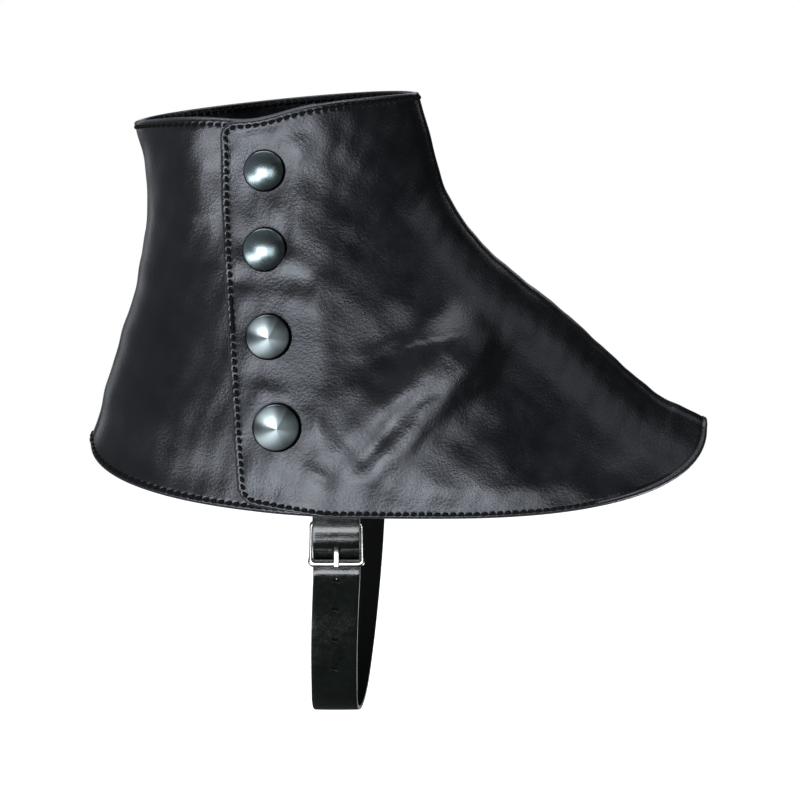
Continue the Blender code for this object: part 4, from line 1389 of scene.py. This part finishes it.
def swept(name, route, section, finishes=()):
    """A closed body: one section carried along a route, its width lying across the foot.

    With finishes, its grain side, its flesh side and its cut edges have one each.
    """
    route = np.array(route)
    run = unit(np.gradient(route, axis=0))
    side = unit(ACROSS_FOOT - run * (run @ ACROSS_FOOT)[:, None])
    face = np.cross(run, side)
    section = np.array(section)
    across = side[:, None, :] * section[None, :, 0, None]
    out = face[:, None, :] * section[None, :, 1, None]
    points = (route[:, None, :] + across + out) * MM
    rows, columns = points.shape[:2]
    index = np.arange(rows * columns).reshape(rows, columns)
    after = np.roll(index, -1, axis=1)
    quads = np.stack([index[:-1], after[:-1], after[1:], index[1:]], axis=-1).reshape(-1, 4)
    faces = quads.tolist() + [index[0].tolist(), index[-1][::-1].tolist()]
    mesh = bpy.data.meshes.new(name)
    mesh.from_pydata(points.reshape(-1, 3).tolist(), [], faces)
    if finishes:
        for finish in finishes:
            mesh.materials.append(finish)
        middle = (section + np.roll(section, -1, axis=0)) / 2
        at_edge = np.abs(middle[:, 0]) > np.abs(section[:, 0]).max() - CUT_EDGE_WIDE
        sides = np.where(middle[:, 1] > 0.0, FLESH_SIDE, GRAIN_SIDE)
        sides = np.tile(np.where(at_edge, CUT_EDGE, sides), rows - 1)
        every = np.concatenate([sides, [CUT_EDGE, CUT_EDGE]])
        mesh.polygons.foreach_set("material_index", every.astype(np.int32))
    turn_outward(mesh)
    mesh.set_sharp_from_angle(angle=STRAP_SHARP_EDGE)
    return mesh


print("a strip's section has", len(ribbon_section(STRAP_WIDTH, STRAP_THICK)), "points")

# %% Cut shapes out of a body
def cut_through(mesh, cutters):
    """The mesh with shapes cut out of it."""
    body = put_in_scene("body", mesh)
    tools = []
    for cutter in cutters:
        tool = put_in_scene("tool", cutter)
        cut = body.modifiers.new("cut", "BOOLEAN")
        cut.operation = "DIFFERENCE"
        cut.solver = "EXACT"
        cut.object = tool
        tools.append(tool)
    seen = body.evaluated_get(bpy.context.evaluated_depsgraph_get())
    result = bpy.data.meshes.new_from_object(seen)
    result.name = mesh.name
    sides = np.empty(len(result.polygons), np.int32)
    result.polygons.foreach_get("material_index", sides)
    for thing in (body, *tools):
        bpy.data.objects.remove(thing, do_unlink=True)
    result.shade_smooth()
    result.set_sharp_from_angle(angle=HOLE_SHARP_EDGE)
    print(result.name, "faces of grain, flesh and cut edge:", np.bincount(sides).tolist())
    return result


# %% Mix the strap's leather
STRAP_CLOUDS = 90.0
STRAP_STREAKS = 420.0
STRAP_WAVES = 75.0
STRAP_CRACKS = 330.0
STRAP_GRAIN_CELLS = 1700.0
STRAP_ROUGHNESS = 0.2
STRAP_SHINE = (0.13, 0.32)
WAX_COAT = 0.25
WAX_ROUGHNESS = 0.12
STRAP_WAVE_HEIGHT = 0.45
STRAP_CRACK_HEIGHT = 0.12
STRAP_GRAIN_HEIGHT = 0.03
FIBRE_HEIGHT = 0.2
FIBRE_LIGHTENS = 1.6


def strap_leather(name, dark, light):
    """Hard bridle leather with a wax polish, a little green in its black."""
    finish, tree, shader, places = new_finish(name, dark, STRAP_ROUGHNESS)
    cloud = noise(tree, places, STRAP_CLOUDS, detail=4.0)
    hide = blend(tree, fit(tree, cloud, *PATCHY, 0.0, 1.0), dark, light)
    tree.links.new(hide, shader.inputs["Base Color"])
    streaks = noise(tree, places, STRAP_STREAKS, detail=5.0, roughness=0.7)
    tree.links.new(fit(tree, streaks, *STREAKY, *STRAP_SHINE), shader.inputs["Roughness"])
    shader.inputs["Coat Weight"].default_value = WAX_COAT
    shader.inputs["Coat Roughness"].default_value = WAX_ROUGHNESS
    waves = noise(tree, places, STRAP_WAVES, detail=1.0)
    cracks = noise(tree, places, STRAP_CRACKS, detail=5.0, roughness=0.65)
    grain = cells(tree, places, STRAP_GRAIN_CELLS)
    bump(tree, shader, (
        (waves, STRAP_WAVE_HEIGHT), (cracks, STRAP_CRACK_HEIGHT), (grain, STRAP_GRAIN_HEIGHT),
    ))
    return finish


def plain_side(name, colour, roughness, specular, grain):
    """The flesh side or the cut edge of a strap."""
    finish, tree, shader, places = new_finish(name, colour, roughness)
    shader.inputs["Specular IOR Level"].default_value = specular
    fibres = noise(tree, places, grain, detail=5.0, roughness=0.7)
    lighter = tuple(FIBRE_LIGHTENS * c for c in colour)
    mixed = blend(tree, fit(tree, fibres, *CLOUDY, 0.0, 1.0), colour, lighter)
    tree.links.new(mixed, shader.inputs["Base Color"])
    bump(tree, shader, ((fibres, FIBRE_HEIGHT),))
    return finish


bridle = (
    strap_leather("strap_leather", (0.0016, 0.0026, 0.0018), (0.0036, 0.0052, 0.0036)),
    plain_side("strap_flesh_side", (0.0016, 0.0017, 0.0016), 0.9, 0.1, 900.0),
    plain_side("strap_cut_edge", (0.26, 0.27, 0.26), 0.6, 0.4, 1300.0),
)
print("strap leather mixed:", ", ".join(finish.name for finish in bridle))

# %% [markdown]
# ## The strap's holes and the prong's slot
#
# Four spare holes follow below the buckle, and the prong goes through a slot above them. A dark disc
# laid on the strap would be quicker, but a hole shows its wall and a worn mouth. So cutters are
# turned and swept to shape and taken out of the ribbon. Each hole narrows to a pinprick at the back,
# as if the leather had closed again behind the punch.

# %% Shape the hole cutters
HOLE_ACROSS = 2.4
HOLE_AT_BACK = 0.2
HOLE_WORN = 0.35
HOLE_MOUTH = 0.5
HOLE_NARROWS = 0.75
HOLE_NARROWS_AT = -0.3
HOLE_REACH = 3.0
HOLE_SIDES = 24
HOLE_PITCH = 13.2
HOLES = 4
FIRST_HOLE_Z = -142.5
JUST_OFF = 0.05


def turned_cutter(name, profile, place, axis):
    """A turned shape stood at a place along an axis."""
    mesh = turned(name, profile, HOLE_SIDES)
    matrix = Vector(axis).to_track_quat("Z", "Y").to_matrix().to_4x4()
    matrix.translation = Vector(place * MM)
    mesh.transform(matrix)
    return mesh


def hole_cutters():
    """Round holes with slightly worn mouths, one below another under the buckle."""
    near_side = strap_route[:, 1] < 0
    lengths = np.linalg.norm(np.diff(strap_route, axis=0), axis=1)
    along = np.concatenate([[0.0], np.cumsum(lengths)])
    first = np.interp(-FIRST_HOLE_Z, -strap_route[near_side, 2][::-1], along[near_side][::-1])
    radius = HOLE_ACROSS / 2
    mouth = STRAP_THICK / 2
    profile = (
        (0.0, -HOLE_REACH), (radius + HOLE_MOUTH, -HOLE_REACH),
        (radius + HOLE_WORN, -mouth - JUST_OFF), (radius, HOLE_WORN - mouth),
        (radius * HOLE_NARROWS, HOLE_NARROWS_AT), (HOLE_AT_BACK, mouth),
        (HOLE_AT_BACK, HOLE_REACH), (0.0, HOLE_REACH),
    )
    cutters = []
    for k in range(HOLES):
        at = first - k * HOLE_PITCH
        place, ahead = (
            np.array([np.interp(a, along, strap_route[:, i]) for i in range(3)])
            for a in (at, at + 1.0)
        )
        face = np.cross(ahead - place, ACROSS_FOOT)
        cutters.append(turned_cutter(f"hole_{k}", profile, place, face))
    return cutters


print("spare holes:", HOLES, "at a pitch of", HOLE_PITCH, "mm")

# %% Build the strap
HEEL_BAR = 2.0
PRONG_WIDE = 2.0
PRONG_THICK = 1.3
PRONG_LOOSE = 0.25
PRONG_RING = HEEL_BAR / 2 + GAP + PRONG_LOOSE + PRONG_THICK / 2
PRONG_ARM = ((2.1, -4.0), (2.0, -7.0), (2.6, -10.5), (2.5, -13.5), (2.1, -16.0))
PRONG_STEP = 0.35
HOOK_TURNS = [math.radians(turn) for turn in range(215, -1, -24)]
SLOT_FROM_POINT = 4
SLOT_ROOM = 1.0
SLOT_CROWN = 0.02
SLOT_CORNER = 0.6
SLOT_STEP = 1.0

prong_points = [in_buckle(PRONG_RING * math.cos(t), PRONG_RING * math.sin(t)) for t in HOOK_TURNS]
prong_points += [in_buckle(*place) for place in PRONG_ARM]
prong_route = smooth_route(prong_points, PRONG_STEP)

strap_section = ribbon_section(STRAP_WIDTH, STRAP_THICK)
strap_mesh = swept("strap_ribbon", strap_route, strap_section, bridle)
slot_section = ribbon_section(
    PRONG_WIDE + SLOT_ROOM, PRONG_THICK + SLOT_ROOM, SLOT_CROWN, SLOT_CORNER
)
slot_route = smooth_route(prong_points[SLOT_FROM_POINT:], SLOT_STEP)
strap_mesh = cut_through(strap_mesh, hole_cutters() + [swept("slot", slot_route, slot_section)])
strap_piece = add_piece("strap_ribbon", strap_mesh, None, "strap_leather", "strap")
print("strap:", len(strap_mesh.polygons), "faces")

# %% [markdown]
# ## The tab
#
# A short strap holds the buckle. It is folded over the heel bar, with a slot for the prong, and both
# its ends are sewn inside the hem. A flat strip could be bent by a modifier, but its route is known
# here: down behind the bar, round it, and up again to the panel's inner face.

# %% Build the buckle's tab
TAB_WIDTH = 16.8
TAB_THICK = 1.5
TAB_LOOP = 1.75
TAB_INNER_UP = 14.0
TAB_FOLD_TURNS = range(180, 361, 30)
TAB_OUTER_UP = (6.0, 12.0, 17.0)
TAB_CLOSES = 0.14
TAB_TOP_Z = -86.0
TAB_SEWN_Z = (TAB_TOP_Z - 9.0, TAB_TOP_Z - 4.0, TAB_TOP_Z)
TAB_SEWN_CLEAR = 1.0
TAB_PROBE_BACK = 10.0
TAB_PROBE_WIDTH = 4.0
TAB_SLOT = 3.2
TAB_SLOT_UP = (-6.5, -1.0, 4.5)
TAB_SLOT_DEEP = 12.0
TAB_SLOT_CORNER = 1.2

tab_reach = TAB_LOOP + TAB_THICK / 2
tab_points = [in_buckle(-tab_reach, up) for up in (TAB_INNER_UP, TAB_INNER_UP / 2)]
for turn in TAB_FOLD_TURNS:
    angle = math.radians(turn)
    tab_points.append(in_buckle(tab_reach * math.cos(angle), tab_reach * math.sin(angle)))
tab_points += [in_buckle(tab_reach - TAB_CLOSES * up, up) for up in TAB_OUTER_UP]
probe_x = STRAP_X - TAB_PROBE_BACK
tab_clear = TAB_SEWN_CLEAR + TAB_THICK / 2
for z in TAB_SEWN_Z:
    probed = inside_wall(back_faces.inner, probe_x, z, tab_clear, TAB_PROBE_WIDTH)
    tab_points.append(probed + TAB_PROBE_BACK * ACROSS_FOOT)
tab_route = smooth_route(tab_points, STRAP_STEP)
tab_mesh = swept("buckle_tab_leather", tab_route, ribbon_section(TAB_WIDTH, TAB_THICK), bridle)
slot_section = ribbon_section(TAB_SLOT, TAB_SLOT_DEEP, 0.0, TAB_SLOT_CORNER)
tab_slot = swept("tab_slot", [in_buckle(0.0, up) for up in TAB_SLOT_UP], slot_section)
tab_mesh = cut_through(tab_mesh, [tab_slot])
tab_piece = add_piece("buckle_tab_leather", tab_mesh, None, "strap_leather", "buckle_tab")
print("tab:", len(tab_mesh.polygons), "faces")

# %% [markdown]
# ## The buckle
#
# A small frame of nickel-plated wire: a thin heel bar under the tab, two slim sides and a deeper
# front bar. A curve with a bevel has one section all round. Here the section changes as it goes
# round, so the frame's middle line is written down and a ring of sections is joined up along it. The
# prong is a strip swept like the strap, with its hook round the heel bar.

# %% Bend the frame and the prong
FRONT_BAR = 2.9
FRAME_HEIGHT = 15.2
FRAME_WINDOW = 18.1
FRAME_SIDE = 1.2
FRAME_TAPER = 0.3
FRAME_CORNER = 1.7
FRAME_CORNER_STEPS = 8
FRAME_HALF_WIDTH = (FRAME_WINDOW + FRAME_SIDE) / 2
FRAME_HALF_DEEP = 1.0
FRAME_SECTION_SIDES = 14
FRONT_BAR_BEGINS = 2.6
HEEL_BAR_BEGINS = 2.2
BAR_FULL = 0.2
SIDE_SHARES = np.linspace(0.1, 0.9, 7)
PRONG_CROWN = 0.15
PRONG_CORNER = 0.4


def frame_line():
    """The frame's middle line as (across, up) pairs: its corners, with a bar or a side after each."""
    line = []
    span = FRAME_HEIGHT - 2 * FRAME_CORNER
    for number, (right, at_heel) in enumerate(((1, True), (-1, True), (-1, False), (1, False))):
        centre_x = right * (FRAME_HALF_WIDTH - FRAME_CORNER)
        centre_up = -FRAME_CORNER if at_heel else -FRAME_HEIGHT + FRAME_CORNER
        for s in range(FRAME_CORNER_STEPS + 1):
            turn = math.radians(90 * number + 90 * s / FRAME_CORNER_STEPS)
            x = centre_x + FRAME_CORNER * math.cos(turn)
            line.append((x, centre_up + FRAME_CORNER * math.sin(turn)))
        if number % 2 == 0:
            line += [(share * centre_x, 0.0 if at_heel else -FRAME_HEIGHT) for share in CROWN_SHARES]
        else:
            to_next = -span if at_heel else span
            line += [(right * FRAME_HALF_WIDTH, centre_up + share * to_next) for share in SIDE_SHARES]
    return np.array(line)


def frame_mesh():
    """The frame as a ring of round sections, thicker at the front bar."""
    ring = frame_line()
    run = unit(np.roll(ring, -1, axis=0) - np.roll(ring, 1, axis=0))
    points = []
    for (x, up), (run_x, run_up) in zip(ring, run):
        to_front = eased(-FRAME_HEIGHT + FRONT_BAR_BEGINS, -FRAME_HEIGHT + BAR_FULL, up)
        to_heel = eased(-HEEL_BAR_BEGINS, -BAR_FULL, up)
        broad = FRAME_SIDE / 2
        broad += (FRONT_BAR / 2 - broad) * to_front + (HEEL_BAR / 2 - broad) * to_heel
        narrow = 1.0 - FRAME_TAPER * (up + FRAME_HEIGHT) / FRAME_HEIGHT / FRAME_HALF_WIDTH
        for k in range(FRAME_SECTION_SIDES):
            turn = 2 * math.pi * k / FRAME_SECTION_SIDES
            side = broad * math.cos(turn)
            out = FRAME_HALF_DEEP * math.sin(turn)
            points.append(in_buckle(out, up + side * run_x, STRAP_X + (x - side * run_up) * narrow))
    count = len(ring)
    index = np.arange(count * FRAME_SECTION_SIDES).reshape(count, FRAME_SECTION_SIDES)
    after = np.roll(index, -1, axis=1)
    faces = np.stack([index, after, np.roll(after, -1, axis=0), np.roll(index, -1, axis=0)], axis=-1)
    mesh = bpy.data.meshes.new("buckle_ring")
    mesh.from_pydata((np.array(points) * MM).tolist(), [], faces.reshape(-1, 4).tolist())
    turn_outward(mesh)
    return mesh


nickel = metal("bright_nickel", (0.46, 0.455, 0.425), 0.2)[0]
frame_piece = add_piece("buckle_ring", frame_mesh(), nickel, "nickel", "buckle_frame")
prong_section = ribbon_section(PRONG_WIDE, PRONG_THICK, PRONG_CROWN, PRONG_CORNER)
prong_mesh = swept("prong_wire", prong_route, prong_section)
add_piece("prong_wire", prong_mesh, nickel, "nickel", "buckle_prong")
print("buckle:", len(frame_piece.data.polygons) + len(prong_mesh.polygons), "faces")

# %% [markdown]
# ## The sizes
#
# The bounds of the imported solids and of the dressed scene are printed side by side, in millimetres.
# Seam allowances and edges that are turned in aren't modelled.

low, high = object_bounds()
boxes = {"cad": [list(cad_low), list(cad_high)], "visual": [list(low), list(high)]}
for name, (lowest, highest) in boxes.items():
    print(name, [[round(v / MM, 1) for v in corner] for corner in (lowest, highest)])
